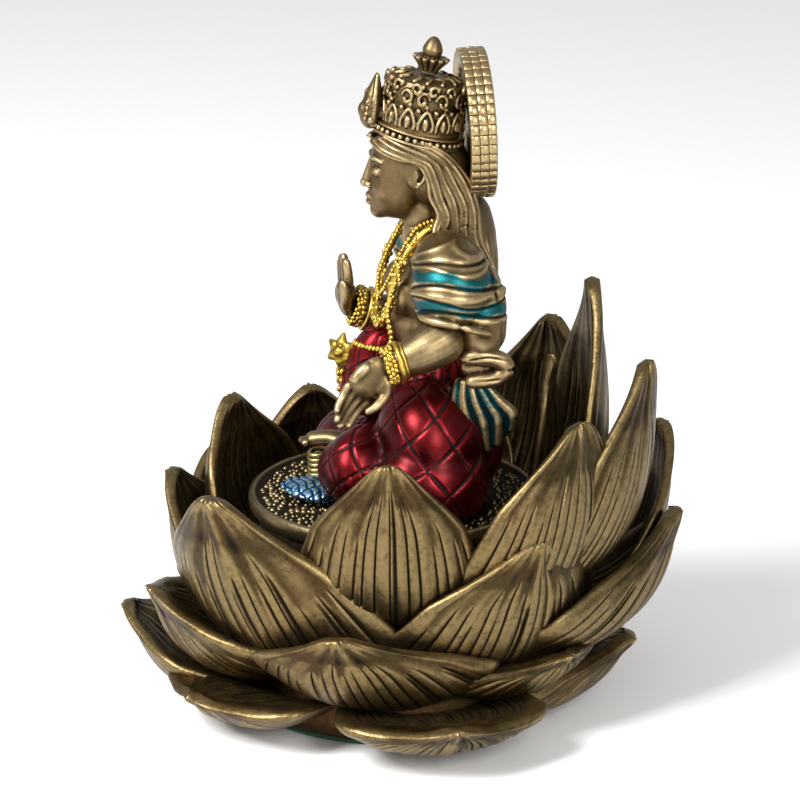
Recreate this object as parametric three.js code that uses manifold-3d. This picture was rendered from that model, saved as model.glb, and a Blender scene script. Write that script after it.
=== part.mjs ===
// A goddess seated on an open lotus: a cold-cast resin figurine about 155 mm tall, assembled from separately
// cast and painted pieces. Millimetres, +Z up. The origin is the middle of the felt pad that it stands on.
// The figure faces -Y, so her left hand is on the +X side and the tall petals stand behind her on the +Y side.
import * as THREE from "three";
import { mergeVertices } from "three/addons/utils/BufferGeometryUtils.js";
import Module from "manifold-3d";

const wasm = await Module();
wasm.setup();

// ---------------------------------------------------------------- driving dimensions
const GAP = 0.34; // glue line between two pieces
const FLATNESS = 0.16; // how far a cut face may move when its smallest triangles are merged
const PAD = { radius: 36, thickness: 1.2 };
const CORE = { foot: 37, waist: 33, top: 31, height: 43.5 };
const SEAT = { radius: 33.5, bottom: CORE.height + GAP, top: 48, rim: 1, rimWidth: 2 };
const PETAL_THICKNESS = 2.8;

// Petal tiers from the ground up. Each petal is [azimuth in degrees from +X towards +Y, reach and rise of its tip,
// and how far the tip sways clockwise, seen from above, if it does].
// The spine leaves the core at root = [radius, height] and bends at [reach + belly, part of the way up].
const TIERS = [
  {
    name: "ground_petal", root: [29, 4], width: 51, belly: -5, lift: -0.35, cup: 38,
    petals: [[7, 60, 14.5], [61, 52, 17, -12], [126, 57, 13], [170, 57, 14], [215, 57, 13], [265, 60, 22], [302, 56, 13]],
  },
  {
    name: "lower_petal", root: [29, 10], width: 58, belly: -1, lift: 0, cup: 36,
    petals: [[-9, 54.5, 33.5, 10], [37, 50, 22, -6], [126, 57, 30], [171, 56, 29], [222, 56, 29], [286, 56, 32.5]],
  },
  {
    name: "middle_petal", root: [28, 14], width: 60, belly: 3, lift: 0.06, cup: 34,
    petals: [[30, 50, 51, -3], [67, 61.4, 46, -14], [104, 65, 58], [148, 55, 50], [190, 53, 46], [224, 52, 48],
      [255, 50, 51], [321, 52.4, 60, 12.5]],
  },
  {
    name: "inner_petal", root: [29, 25], width: 46, belly: 12, lift: 0.22, cup: 28,
    petals: [[-8, 45, 70], [38, 49.5, 75, -7], [61, 54.5, 83, -10.6], [92, 45, 95, -6.3], [126, 48, 80], [163, 45, 68],
      [200, 46, 59], [235, 40, 64.5]],
  },
];
const BACK_PETAL = { azimuth: 78, reach: 33.5, rise: 82, root: [32, 48], width: 18, belly: 6, lift: 0.4, cup: 15 };

const CROWN_FOOT = new THREE.Vector3(0, 5.3, 132.4);
const CROWN_LEAN = 10; // degrees that the crown leans back over the head
const BAND_LEAN = 14; // the beaded band sits lower still at the back
const HALO = { radius: 16.7, thickness: 6, centre: new THREE.Vector3(0, 18.2, 134.5), lean: 3 };

// ---------------------------------------------------------------- finishes
function finish(color, roughness, metalness) {
  return new THREE.MeshStandardMaterial({ color, roughness, metalness });
}
const bronze = finish(0x8a7142, 0.38, 0.85);
const gold = finish(0xc9a227, 0.3, 0.9);
const redPaint = finish(0x9c1426, 0.3, 0.6);
const tealPaint = finish(0x1d7f86, 0.32, 0.6);
const bluePaint = finish(0x3d8fc4, 0.32, 0.6);
const seedPaint = finish(0x4a4034, 0.45, 0.7);
const felt = finish(0x1c3b2a, 0.95, 0);

// ---------------------------------------------------------------- solids
// A closed geometry as a manifold solid, without the flat triangles that a lathe leaves on its axis.
function solidOf(geometry) {
  const bare = geometry.clone();
  bare.deleteAttribute("normal");
  bare.deleteAttribute("uv");
  const merged = mergeVertices(bare, 1e-4);
  const index = merged.index.array;
  const kept = [];
  for (let i = 0; i < index.length; i += 3) {
    const [a, b, c] = [index[i], index[i + 1], index[i + 2]];
    if (a !== b && b !== c && c !== a) kept.push(a, b, c);
  }
  return new wasm.Manifold(
    new wasm.Mesh({
      numProp: 3,
      vertProperties: new Float32Array(merged.attributes.position.array),
      triVerts: new Uint32Array(kept),
    }),
  );
}

function geometryOf(solid) {
  const mesh = solid.getMesh();
  const points = new Float32Array(mesh.numVert * 3);
  for (let i = 0; i < mesh.numVert; i++) {
    points.set(mesh.vertProperties.subarray(i * mesh.numProp, i * mesh.numProp + 3), i * 3);
  }
  const geometry = new THREE.BufferGeometry();
  geometry.setAttribute("position", new THREE.BufferAttribute(points, 3));
  geometry.setIndex(new THREE.BufferAttribute(mesh.triVerts, 1));
  return geometry;
}

function largestBody(solid) {
  return solid.decompose().reduce((best, body) => (body.volume() > best.volume() ? body : best));
}

const vec = (x, y, z) => new THREE.Vector3(x, y, z);

// An ellipsoid with its poles on Z. Every shape below takes grow, the clearance to add all round it.
function ball(centre, radii, grow = 0) {
  const geometry = new THREE.SphereGeometry(1, 11, 7);
  geometry.rotateX(Math.PI / 2);
  geometry.scale(radii[0] + grow, radii[1] + grow, radii[2] + grow);
  geometry.translate(...centre);
  return solidOf(geometry);
}

// A tapered limb with round ends between two points.
function limb(from, to, fromRadius, toRadius, grow = 0, sides = 9) {
  const length = from.distanceTo(to);
  const ra = fromRadius + grow;
  const rb = toRadius + grow;
  const steps = 3;
  const profile = [];
  for (let i = 0; i <= steps; i++) {
    const angle = (-Math.PI / 2) * (1 - i / steps);
    profile.push(new THREE.Vector2(i === 0 ? 0 : ra * Math.cos(angle), ra * Math.sin(angle)));
  }
  for (let i = 0; i <= steps; i++) {
    const angle = (Math.PI / 2) * (i / steps);
    profile.push(new THREE.Vector2(i === steps ? 0 : rb * Math.cos(angle), length + rb * Math.sin(angle)));
  }
  const geometry = new THREE.LatheGeometry(profile, sides);
  const along = to.clone().sub(from).normalize();
  geometry.applyQuaternion(new THREE.Quaternion().setFromUnitVectors(vec(0, 1, 0), along));
  geometry.translate(...from);
  return solidOf(geometry);
}

// A solid of revolution about +Z from [radius, height] points, which start and end on the axis.
function turned(points, sides) {
  const geometry = new THREE.LatheGeometry(points.map(([r, z]) => new THREE.Vector2(r, z)), sides);
  geometry.rotateX(Math.PI / 2);
  return geometry;
}

// A ring of wire about an axis, squeezed to an oval by shape.
function ring(centre, axis, radius, wire, grow = 0, shape = [1, 1], sides = [6, 16]) {
  const geometry = new THREE.TorusGeometry(radius, wire + grow, sides[0], sides[1]);
  geometry.scale(shape[0], shape[1], 1);
  geometry.applyQuaternion(new THREE.Quaternion().setFromUnitVectors(vec(0, 0, 1), axis.clone().normalize()));
  geometry.translate(...centre);
  return solidOf(geometry);
}

// ---------------------------------------------------------------- assembly
const statue = new THREE.Group();
let occupied = null;

// Adds one piece. make(grow) gives its solid, with that much clearance added all round. The piece is cut back from
// every piece placed before it, so that a glue line is left between the two.
function place(name, material, make) {
  const full = make(0);
  const cut = occupied ? largestBody(full.subtract(occupied)) : full;
  const solid = largestBody(cut.asOriginal().simplify(FLATNESS));
  occupied = occupied ? occupied.add(make(GAP)) : make(GAP);
  const geometry = geometryOf(solid);
  geometry.computeBoundingBox();
  const middle = geometry.boundingBox.getCenter(vec(0, 0, 0));
  geometry.translate(-middle.x, -middle.y, -middle.z);
  const mesh = new THREE.Mesh(geometry, material);
  mesh.name = name;
  mesh.position.copy(middle);
  statue.add(mesh);
}

const join = (...solids) => solids.reduce((all, next) => all.add(next));

// ---------------------------------------------------------------- stand
place("felt_pad", felt, (grow) =>
  solidOf(turned([[0, -grow], [PAD.radius + grow, -grow], [PAD.radius + grow, PAD.thickness + grow],
    [0, PAD.thickness + grow]], 28)));

place("lotus_core", bronze, (grow) => {
  const bottom = PAD.thickness + GAP;
  const outline = [[0, bottom - grow], [CORE.foot + grow, bottom - grow], [CORE.foot + grow, 6],
    [CORE.waist + grow, 18], [CORE.top + grow, CORE.height + grow], [0, CORE.height + grow]];
  return solidOf(turned(outline, 24));
});

place("seed_pod_seat", seedPaint, (grow) => {
  const outer = SEAT.radius + grow;
  const lip = SEAT.radius - SEAT.rimWidth - grow;
  const outline = [[0, SEAT.bottom - grow], [outer - 1, SEAT.bottom - grow], [outer, SEAT.bottom + 1.5],
    [outer, SEAT.top + SEAT.rim + grow], [lip, SEAT.top + SEAT.rim + grow], [lip, SEAT.top + grow],
    [0, SEAT.top + grow]];
  return solidOf(turned(outline, 28));
});

// ---------------------------------------------------------------- petals
// Share of the full width at v, from 0 at the root to 1 at the tip: a broad leaf that ends in a blunt ellipse.
function petalOutline(v) {
  const leaf = Math.sin(Math.PI * (0.3 + 0.55 * v));
  const pastShoulder = Math.max(v - 0.82, 0) / 0.18;
  return leaf * Math.sqrt(Math.max(1 - pastShoulder * pastShoulder, 0));
}

// A spoon-shaped petal: its spine is a curve in the plane of its azimuth, and it wraps round that at the cup radius.
function petal({ azimuth, reach, rise, sway = 0, root, width, belly, lift, cup }, grow = 0) {
  const geometry = new THREE.BoxGeometry(1, 1, 1, 4, 6, 1);
  const bend = new THREE.Vector2(reach + belly, root[1] + lift * (rise - root[1]));
  const spine = new THREE.QuadraticBezierCurve(new THREE.Vector2(...root), bend, new THREE.Vector2(reach, rise));
  const angle = THREE.MathUtils.degToRad(azimuth);
  const out = vec(Math.cos(angle), Math.sin(angle), 0);
  const side = vec(Math.sin(angle), -Math.cos(angle), 0);
  const points = geometry.getAttribute("position");
  for (let i = 0; i < points.count; i++) {
    const u = 2 * points.getX(i);
    const v = points.getY(i) + 0.5;
    const face = 2 * points.getZ(i);
    const at = spine.getPoint(v);
    const along = spine.getTangent(v);
    if (v > 0.999) at.addScaledVector(along, grow);
    const half = (width / 2) * petalOutline(v) + 0.9 + grow;
    const wrap = (u * half) / cup;
    const inward = out.clone().multiplyScalar(-along.y).addScaledVector(vec(0, 0, 1), along.x);
    const normal = inward.clone().multiplyScalar(Math.cos(wrap)).addScaledVector(side, -Math.sin(wrap));
    const point = out.clone().multiplyScalar(at.x).addScaledVector(vec(0, 0, 1), at.y)
      .addScaledVector(side, cup * Math.sin(wrap) + sway * v * v)
      .addScaledVector(inward, cup * (1 - Math.cos(wrap)))
      .addScaledVector(normal, face * (PETAL_THICKNESS * (1 - 0.35 * u * u) / 2 + grow));
    points.setXYZ(i, point.x, point.y, point.z);
  }
  return solidOf(geometry);
}

for (const tier of TIERS) {
  tier.petals.forEach(([azimuth, reach, rise, sway], i) => {
    place(`${tier.name}_${i + 1}`, bronze, (grow) => petal({ ...tier, azimuth, reach, rise, sway }, grow));
  });
}
place("back_petal", bronze, (grow) => petal(BACK_PETAL, grow));

// ---------------------------------------------------------------- jewellery that the body is cut round
const LEFT_WRIST = vec(23.9, -5, 86.6);
const LEFT_KNUCKLES = vec(24, -10.5, 80.5);
const LEFT_FINGERTIPS = vec(24, -15.2, 74.6);
const RIGHT_WRIST = vec(-17, -8.2, 87);
const RIGHT_KNUCKLES = vec(-17, -9.5, 92.5);
const RIGHT_FINGERTIPS = vec(-17, -10, 99.4);

place("left_bangle", gold, (grow) => ring(vec(23.4, -0.9, 86.5), vec(0.05, -0.96, -0.25), 4.3, 0.8, grow));
place("left_bead_bracelet", gold, (grow) => ring(vec(23.5, -3.4, 85.9), vec(0.05, -0.96, -0.25), 4, 1.1, grow));
place("right_bangle", gold, (grow) => ring(vec(-17.1, -4.3, 86.7), vec(0.05, -0.95, 0.3), 4.7, 0.8, grow));
place("right_bead_bracelet", gold, (grow) => ring(vec(-17, -6.8, 87.5), vec(0.05, -0.95, 0.3), 4.3, 1.1, grow));
place("flower_garland", gold, (grow) =>
  ring(vec(0, 2.4, 101.2), vec(0, -1, 0.56), 12.8, 1.5, grow, [0.74, 1.06], [6, 22]));
place("lower_chain", gold, (grow) => ring(vec(0, -4.6, 88.4), vec(0, -1, -0.4), 8.4, 1, grow, [1.1, 0.7], [6, 16]));
place("lap_flower", gold, (grow) => {
  const disc = turned([[0, -1.4 - grow], [4.4 + grow, -1.4 - grow], [4.4 + grow, 0.8], [2.2 + grow, 2 + grow],
    [0, 2.4 + grow]], 12);
  disc.applyQuaternion(new THREE.Quaternion().setFromUnitVectors(vec(0, 0, 1), vec(0.78, -0.6, 0.18).normalize()));
  disc.translate(-3.4, -11.4, 81);
  return join(solidOf(disc), limb(vec(-3.4, -11, 80), vec(-3.4, -10.8, 74.6), 2.2, 2.4, grow, 8));
});

// ---------------------------------------------------------------- seated figure
place("left_arm", bronze, (grow) =>
  join(
    limb(vec(20.5, 11.5, 91.5), vec(23.3, -1.3, 86.4), 5.6, 3.5, grow),
    limb(vec(23.3, -1.3, 86.4), LEFT_WRIST, 3.5, 3.2, grow),
    limb(LEFT_WRIST, LEFT_KNUCKLES, 3.4, 4, grow),
    limb(LEFT_KNUCKLES, LEFT_FINGERTIPS, 3.8, 1.9, grow),
  ));
place("right_arm", bronze, (grow) =>
  join(
    limb(vec(-20.5, 9, 83), vec(-17.2, -4.6, 86.8), 5, 3.5, grow),
    limb(vec(-17.2, -4.6, 86.8), RIGHT_WRIST, 3.5, 2.9, grow),
    limb(RIGHT_WRIST, RIGHT_KNUCKLES, 3, 3.8, grow),
    limb(RIGHT_KNUCKLES, RIGHT_FINGERTIPS, 3.6, 1.4, grow),
  ));
place("left_sleeve", bronze, (grow) => join(
  limb(vec(15.5, 10.5, 105), vec(18.5, 11.5, 95.5), 7, 9.4, grow, 10),
  limb(vec(18.5, 15.5, 96), vec(20.5, 17.5, 87), 7.2, 4.4, grow),
));
place("right_sleeve", bronze, (grow) => join(
  limb(vec(-15.5, 10.5, 105), vec(-18, 10.5, 94), 7, 9, grow, 10),
  limb(vec(-18, 15.5, 96), vec(-20, 17.5, 87), 7.2, 4.4, grow),
));
function shawlFold(side, grow) {
  return join(
    limb(vec(side * 22, 13.5, 85.8), vec(side * 22, 20.2, 85), 2.4, 2.8, grow, 8),
    limb(vec(side * 22, 20.4, 82.6), vec(side * 21.4, 13.8, 81), 2.6, 2.4, grow, 8),
  );
}
place("left_shawl_fold", bronze, (grow) => shawlFold(1, grow));
place("right_shawl_fold", bronze, (grow) => shawlFold(-1, grow));
function shawlTail(side, grow) {
  return join(
    limb(vec(side * 20.8, 14.2, 79.4), vec(side * 21.4, 16.8, 67.6), 3, 4.4, grow, 8),
    limb(vec(side * 20.4, 17.4, 79.2), vec(side * 20.8, 20.6, 70), 2.8, 3.6, grow, 8),
  );
}
place("left_shawl_tail", tealPaint, (grow) => shawlTail(1, grow));
place("right_shawl_tail", tealPaint, (grow) => shawlTail(-1, grow));

place("anklet_coils", gold, (grow) => {
  const wires = [];
  for (let i = 0; i < 5; i++) {
    wires.push([1.9 + grow, i * 1.2 - grow / 2], [2.6 + grow, i * 1.2 + 0.6]);
  }
  const stack = turned([[0, -grow], ...wires, [1.9 + grow, 6], [0, 6 + grow]], 12);
  stack.rotateX(THREE.MathUtils.degToRad(6));
  stack.translate(0, -17.4, 52.6);
  return solidOf(stack);
});
place("sari_hem", bluePaint, (grow) =>
  join(
    ball(vec(0.5, -21.5, 49.8), [8.4, 5.8, 2.2], grow),
    ball(vec(3, -17, 50), [8.6, 5, 2.6], grow),
  ));
place("front_foot", bronze, (grow) =>
  join(
    limb(vec(3.5, -10.5, 61.2), vec(0, -17.6, 61.6), 2.4, 2, grow, 8),
    limb(vec(0, -17.6, 61.6), vec(-0.4, -20.4, 61), 2, 1.7, grow, 8),
  ));

place("sari_skirt", redPaint, (grow) =>
  join(
    ball(vec(0, 12.5, 61), [22.5, 12.5, 13], grow),
    limb(vec(12, 11, 63.5), vec(22, -5.5, 64), 14.6, 12, grow, 10),
    limb(vec(22, -5.5, 64), vec(6, -13, 55.5), 11, 6.5, grow, 10),
    limb(vec(-12, 11, 61.5), vec(-22.5, -5, 57.5), 13.6, 9.6, grow, 10),
    limb(vec(-22.5, -5, 57.5), vec(-6, -13, 54.5), 9, 6.3, grow, 10),
    ball(vec(0, -1, 57), [20, 14, 9], grow),
    limb(vec(20, -3, 57), vec(16, 17, 57.5), 8, 8.5, grow, 10),
    limb(vec(0, 8, 70), vec(0, 6.2, 84.6), 12, 9.6, grow, 10),
    limb(vec(-2, -5.5, 70), vec(-1, -3, 83), 7, 5, grow, 10),
  ));

place("torso", bronze, (grow) =>
  join(
    ball(vec(0, 7.4, 95), [13.6, 9.8, 13.5], grow),
    limb(vec(-12, 9, 104), vec(12, 9, 104), 6.2, 6.2, grow),
    limb(vec(0, 8.5, 103), vec(0, 6.5, 109), 5.8, 5.2, grow),
  ));

// ---------------------------------------------------------------- crown, halo, head and hair
// Moves a geometry from the crown's own frame, with its foot at the origin, on to the head.
function onHead(geometry, degrees = CROWN_LEAN) {
  geometry.rotateX(-THREE.MathUtils.degToRad(degrees));
  geometry.translate(...CROWN_FOOT);
  return solidOf(geometry);
}
place("crown_front_jewel", bronze, (grow) => {
  const plaque = turned([[0, -0.8 - grow], [2.6 + grow, 0], [3.5 + grow, 3.4], [2.5 + grow, 7.8], [0, 12.2 + grow]], 8);
  plaque.scale(1, 0.8, 1);
  plaque.translate(0, -11.4, 0);
  return onHead(plaque);
});
place("crown_band", bronze, (grow) =>
  onHead(turned([[7.6 - grow, -1 - grow], [10.4 + grow, -1 - grow], [10.4 + grow, 1.4 + grow],
    [7.6 - grow, 1.4 + grow], [7.6 - grow, -1 - grow]], 24), BAND_LEAN));
place("crown_cap", bronze, (grow) =>
  onHead(turned([[0, 1.4 - grow], [9.3 + grow, 1.4 - grow], [9.7 + grow, 4], [9.4 + grow, 6.9], [8.8 + grow, 7.8],
    [9.3 + grow, 10.6], [8.6 + grow, 12.4], [5.6 + grow, 13.5 + grow], [0, 13.5 + grow]], 18)));
place("crown_finial", bronze, (grow) =>
  onHead(turned([[0, 13.9 - grow], [2 + grow, 13.9 - grow], [3.9 + grow, 17.3 + grow], [2.1 + grow, 17.5 + grow],
    [2.3 + grow, 19.4], [1.4 + grow, 21.2], [0, 22.2 + grow]], 12)));

place("halo_disc", bronze, (grow) => {
  const half = HALO.thickness / 2;
  const inner = HALO.radius - 3.4;
  const disc = turned([[0, -half + 1.4 - grow], [inner, -half + 1.4 - grow], [inner + 0.6, -half - grow],
    [HALO.radius + grow, -half - grow], [HALO.radius + grow, half + grow], [0, half + grow]], 28);
  disc.rotateX(Math.PI / 2 + THREE.MathUtils.degToRad(HALO.lean));
  disc.translate(...HALO.centre);
  return solidOf(disc);
});

place("head", bronze, (grow) =>
  join(
    ball(vec(0, 4.6, 126.4), [8.2, 9.8, 9], grow),
    ball(vec(0, 0.6, 121.6), [6.8, 6.3, 8.8], grow),
    ball(vec(0, -1, 117), [4.8, 4.8, 4], grow),
    limb(vec(0, 5, 118), vec(0, 6.6, 111), 4.8, 4.8, grow),
    limb(vec(0, -5.6, 123.6), vec(0, -6.4, 121.4), 0.9, 1.3, grow, 8),
  ));
place("hair", bronze, (grow) =>
  join(
    ball(vec(0, 9, 123.6), [9.9, 9.4, 9.6], grow),
    limb(vec(0, 14, 117), vec(0, 17.2, 94), 6.8, 5.6, grow, 10),
    limb(vec(6.2, 11.5, 117), vec(8.4, 16.5, 98), 5.2, 4.2, grow),
    limb(vec(-6.2, 11.5, 117), vec(-8.4, 16.5, 98), 5.2, 4.2, grow),
    limb(vec(0, 18, 98), vec(0, 21, 85), 5.2, 3.6, grow),
  ));

export default statue;
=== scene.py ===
# %% [markdown]
# # A goddess seated on a lotus
# The figurine is cold-cast resin: bronze powder and resin poured in a mould, stained dark, then rubbed so
# that the high places shine. Each cell below makes one piece or one finish. Lengths are typed in
# millimetres and turned into metres when a mesh is written. The figure faces -Y and +X is on her left.

# %% Load the frame
import math

import bmesh
import bpy
import numpy as np
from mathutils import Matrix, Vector


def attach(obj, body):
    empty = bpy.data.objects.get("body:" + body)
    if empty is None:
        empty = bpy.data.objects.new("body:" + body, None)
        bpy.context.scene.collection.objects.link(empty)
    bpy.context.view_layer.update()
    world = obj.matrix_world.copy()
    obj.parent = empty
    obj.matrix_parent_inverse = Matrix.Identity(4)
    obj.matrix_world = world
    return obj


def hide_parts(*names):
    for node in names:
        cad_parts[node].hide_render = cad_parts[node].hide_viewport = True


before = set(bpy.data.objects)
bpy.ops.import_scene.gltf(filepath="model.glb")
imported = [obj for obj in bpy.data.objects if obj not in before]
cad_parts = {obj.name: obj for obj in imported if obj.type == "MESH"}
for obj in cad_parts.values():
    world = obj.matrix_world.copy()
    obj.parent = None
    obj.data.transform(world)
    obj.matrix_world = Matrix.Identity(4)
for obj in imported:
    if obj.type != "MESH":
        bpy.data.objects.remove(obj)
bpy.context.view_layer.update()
MM = 0.001
rng = np.random.default_rng(7)
print("nodes in the frame:", len(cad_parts))

# %% [markdown]
# A shader node has sockets, and arithmetic on sockets takes a Math node for every operator. This small
# class wraps one socket so that `a * 2 + b` builds those nodes, which keeps the finishes readable.

# %% Arithmetic on shader sockets
class Socket:
    def __init__(self, tree, socket):
        self.tree = tree
        self.socket = socket

    def _math(self, operation, *values):
        return self.tree.add("ShaderNodeMath", {"operation": operation}, values)

    def __add__(self, other):
        return self._math("ADD", self, other)

    def __radd__(self, other):
        return self._math("ADD", other, self)

    def __sub__(self, other):
        return self._math("SUBTRACT", self, other)

    def __rsub__(self, other):
        return self._math("SUBTRACT", other, self)

    def __mul__(self, other):
        return self._math("MULTIPLY", self, other)

    def step(self, low, high):
        """0 below low, 1 above high, and a smooth slope between them."""
        settings = {"interpolation_type": "SMOOTHSTEP"}
        return self.tree.add("ShaderNodeMapRange", settings,
                             {"Value": self, "From Min": low, "From Max": high})


class Finish:
    """One material: its nodes are all made by add()."""

    def __init__(self, name):
        self.material = bpy.data.materials.new(name)
        self.material.use_nodes = True
        self.nodes = self.material.node_tree.nodes
        self.links = self.material.node_tree.links
        self.shader = self.nodes["Principled BSDF"]
        self.place = self.add("ShaderNodeTexCoord", output="Object")

    def add(self, kind, settings=None, inputs=(), output=0):
        node = self.nodes.new(kind)
        for key, value in (settings or {}).items():
            setattr(node, key, value)
        pairs = inputs.items() if isinstance(inputs, dict) else enumerate(inputs)
        for key, value in pairs:
            self.plug(node.inputs[key], value)
        return Socket(self, node.outputs[output])

    def plug(self, target, value):
        if isinstance(value, Socket):
            self.links.new(value.socket, target)
        else:
            target.default_value = value

    def attribute(self, name):
        return self.add("ShaderNodeAttribute", {"attribute_name": name}, output="Fac")

    def noise(self, scale, detail=3.0, roughness=0.55):
        inputs = {"Vector": self.place, "Scale": scale, "Detail": detail, "Roughness": roughness}
        return self.add("ShaderNodeTexNoise", None, inputs, output=0)

    def mix(self, factor, low, high):
        """A blend of two colours, each a linear (r, g, b) or another blend."""
        low, high = [(*c, 1.0) if isinstance(c, tuple) else c for c in (low, high)]
        return self.add("ShaderNodeMix", {"data_type": "RGBA"}, {0: factor, 6: low, 7: high}, output=2)

    def set(self, **inputs):
        for name, value in inputs.items():
            target = self.shader.inputs[name.replace("_", " ")]
            self.plug(target, (*value, 1.0) if isinstance(value, tuple) else value)

    def bump(self, height, distance, strength):
        inputs = {"Strength": strength, "Distance": distance, "Height": height}
        self.plug(self.shader.inputs["Normal"], self.add("ShaderNodeBump", None, inputs, output="Normal"))


# %% [markdown]
# The bronze look is one rule used all over: stain stays in the hollows and metal shows where a cloth
# rubbed. Every mesh carries a `cavity` value, above zero in a hollow and below zero on a ridge, and the
# finish turns it into a dark rough stain at one end and a bright smooth rub at the other. Two soft noises
# shift the stain between olive and brown, as it does on a hand-finished casting. The lotus was stained
# deeper than the figure and rubbed less, so it has its own, darker colours.

# %% The antique bronze finish
STAIN = (0.010, 0.0065, 0.0035)
BRONZE = (0.125, 0.089, 0.041)
RUBBED = (0.46, 0.345, 0.18)


def aged_metal(name, body=BRONZE, rubbed=RUBBED, stain=STAIN, warm=(0.17, 0.10, 0.05), gloss=0.45,
               coarse=1.0):
    look = Finish(name)
    cavity = look.attribute("cavity")
    cloud = look.noise(95.0, 4.0)
    grain = look.noise(900.0, 2.0)
    dark = (cavity + (cloud - 0.5) * 0.5).step(0.08, 0.62)
    bright = ((cloud - 0.5) * 0.7 - cavity).step(0.02, 0.62)
    olive = look.noise(38.0, 2.0).step(0.42, 0.7)
    tinted = look.mix(olive * 0.55, body, warm)
    speckle = look.noise(620.0, 5.0, 0.75).step(0.42, 0.78) * 0.3 * coarse
    metal = look.mix(speckle, look.mix(bright * 0.75, tinted, rubbed), stain)
    color = look.mix(dark * 0.95, metal, stain)
    roughness = gloss + dark * 0.3 - bright * 0.06 + (grain - 0.5) * 0.12 + (cloud - 0.5) * 0.12
    look.set(Base_Color=color, Metallic=1.0 - dark * 0.12, Roughness=roughness)
    look.bump(look.noise(1600.0, 3.0) + look.noise(420.0, 2.0) * 1.4, 0.00007 * coarse, 0.5)
    return look


bronze = aged_metal("antique_bronze").material
dark_bronze = aged_metal("dark_bronze", body=(0.055, 0.038, 0.0155), rubbed=(0.24, 0.172, 0.075),
                         stain=(0.006, 0.004, 0.002), warm=(0.075, 0.032, 0.014), gloss=0.46,
                         coarse=2.2).material
print("finishes made:", bronze.name, dark_bronze.name)

# %% [markdown]
# Many pieces here are a ball that has been pulled into another shape. A UV sphere is already closed and its
# rings run neatly from pole to pole, so moving its points gives a closed leaf, tube or petal with clean
# rows. `pulled` keeps the operator's faces and only asks for new places, given how far along (0 to 1) and
# how far round (an angle) each point is.

# %% Pull a sphere into shape
def read_points(mesh):
    points = np.empty(len(mesh.vertices) * 3)
    mesh.vertices.foreach_get("co", points)
    return points.reshape(-1, 3) / MM


def write_points(mesh, points):
    mesh.vertices.foreach_set("co", (points * MM).ravel())
    mesh.update()


def sphere(around, along):
    bm = bmesh.new()
    bmesh.ops.create_uvsphere(bm, u_segments=around, v_segments=along, radius=MM)
    mesh = bpy.data.meshes.new("sphere")
    bm.to_mesh(mesh)
    bm.free()
    return mesh


def pulled(around, along, shape):
    mesh = sphere(around, along)
    x, y, z = read_points(mesh).T
    write_points(mesh, shape(np.arccos(np.clip(-z, -1, 1)) / math.pi, np.arctan2(y, x)))
    return mesh


def unit(v):
    return v / np.maximum(np.linalg.norm(v, axis=-1, keepdims=True), 1e-9)


def smooth_line(points, count):
    """A Catmull-Rom curve through a few points, at count evenly spaced steps."""
    p = np.asarray(points, float)
    p = np.vstack([2 * p[0] - p[1], p, 2 * p[-1] - p[-2]])
    at = np.linspace(0, len(p) - 3.000001, count)
    i = at.astype(int)
    t = (at - i)[:, None]
    a, b, c, d = p[i], p[i + 1], p[i + 2], p[i + 3]
    return 0.5 * (2 * b + (c - a) * t + (2 * a - 5 * b + 4 * c - d) * t**2 + (3 * b - a - 3 * c + d) * t**3)


def smooth_step(low, high, x):
    t = np.clip((x - low) / (high - low), 0, 1)
    return t * t * (3 - 2 * t)


# %% [markdown]
# The `cavity` value comes from the mesh itself. A copy of the points is relaxed a few times towards their
# neighbours; where the relaxed point sits outside the surface the place is a hollow, and where it sits
# inside the place is a ridge. Doing it at two sizes catches both fine lines and broad folds. A caller may add
# an `extra` on top: on the petals this holds their carved veins and also painted shade at the roots and
# painted light on the inner faces, and on the lotus core it is painted shade all over.

# %% Measure hollows and ridges
def relaxed(points, edges, rounds):
    count = np.bincount(edges.ravel(), minlength=len(points))[:, None]
    for _ in range(rounds):
        total = np.zeros_like(points)
        for axis in range(3):
            total[:, axis] = np.bincount(edges[:, 0], points[edges[:, 1], axis], len(points))
            total[:, axis] += np.bincount(edges[:, 1], points[edges[:, 0], axis], len(points))
        points = 0.5 * points + 0.5 * total / np.maximum(count, 1)
    return points


def edge_pairs(mesh):
    edges = np.empty(len(mesh.edges) * 2, dtype=np.int32)
    mesh.edges.foreach_get("vertices", edges)
    return edges.reshape(-1, 2)


def normals_of(mesh):
    normals = np.empty(len(mesh.vertices) * 3)
    mesh.vertex_normals.foreach_get("vector", normals)
    return normals.reshape(-1, 3)


def store(mesh, name, values):
    layer = mesh.attributes.get(name) or mesh.attributes.new(name, "FLOAT", "POINT")
    layer.data.foreach_set("value", np.ascontiguousarray(values, dtype=np.float32))


def mark_cavity(mesh, extra=0.0, fine=(3, 0.05), broad=(14, 0.22)):
    """fine and broad are each how many rounds of relaxing, and the move in mm that counts as fully hollow."""
    points, edges, normals = read_points(mesh), edge_pairs(mesh), normals_of(mesh)
    total = np.zeros(len(points)) + extra
    for rounds, reference in (fine, broad):
        moved = relaxed(points, edges, rounds) - points
        total += 0.6 * np.clip((moved * normals).sum(1) / reference, -1, 1)
    store(mesh, "cavity", total)


def piece(mesh, name, slot, material, *nodes):
    """Names a finished mesh, shades it smooth and ties it to the frame."""
    mesh.name = name
    mesh.polygons.foreach_set("use_smooth", np.ones(len(mesh.polygons), dtype=bool))
    mesh.materials.clear()
    mesh.materials.append(material)
    obj = bpy.data.objects.new(name, mesh)
    bpy.context.scene.collection.objects.link(obj)
    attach(obj, "root")
    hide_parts(*nodes)


# %% [markdown]
# A lotus petal is a thick cupped leaf: broad from the root to past the middle, with a blunt curled tip and
# a rolled lip. The pulled sphere's poles become the root and the tip. Its front half is the outer face and
# its back half the inner one. The carved veins follow the sphere's own rows, so each is a clean V however
# long the petal is, and each starts and stops at its own place as hand-cut lines do.

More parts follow.
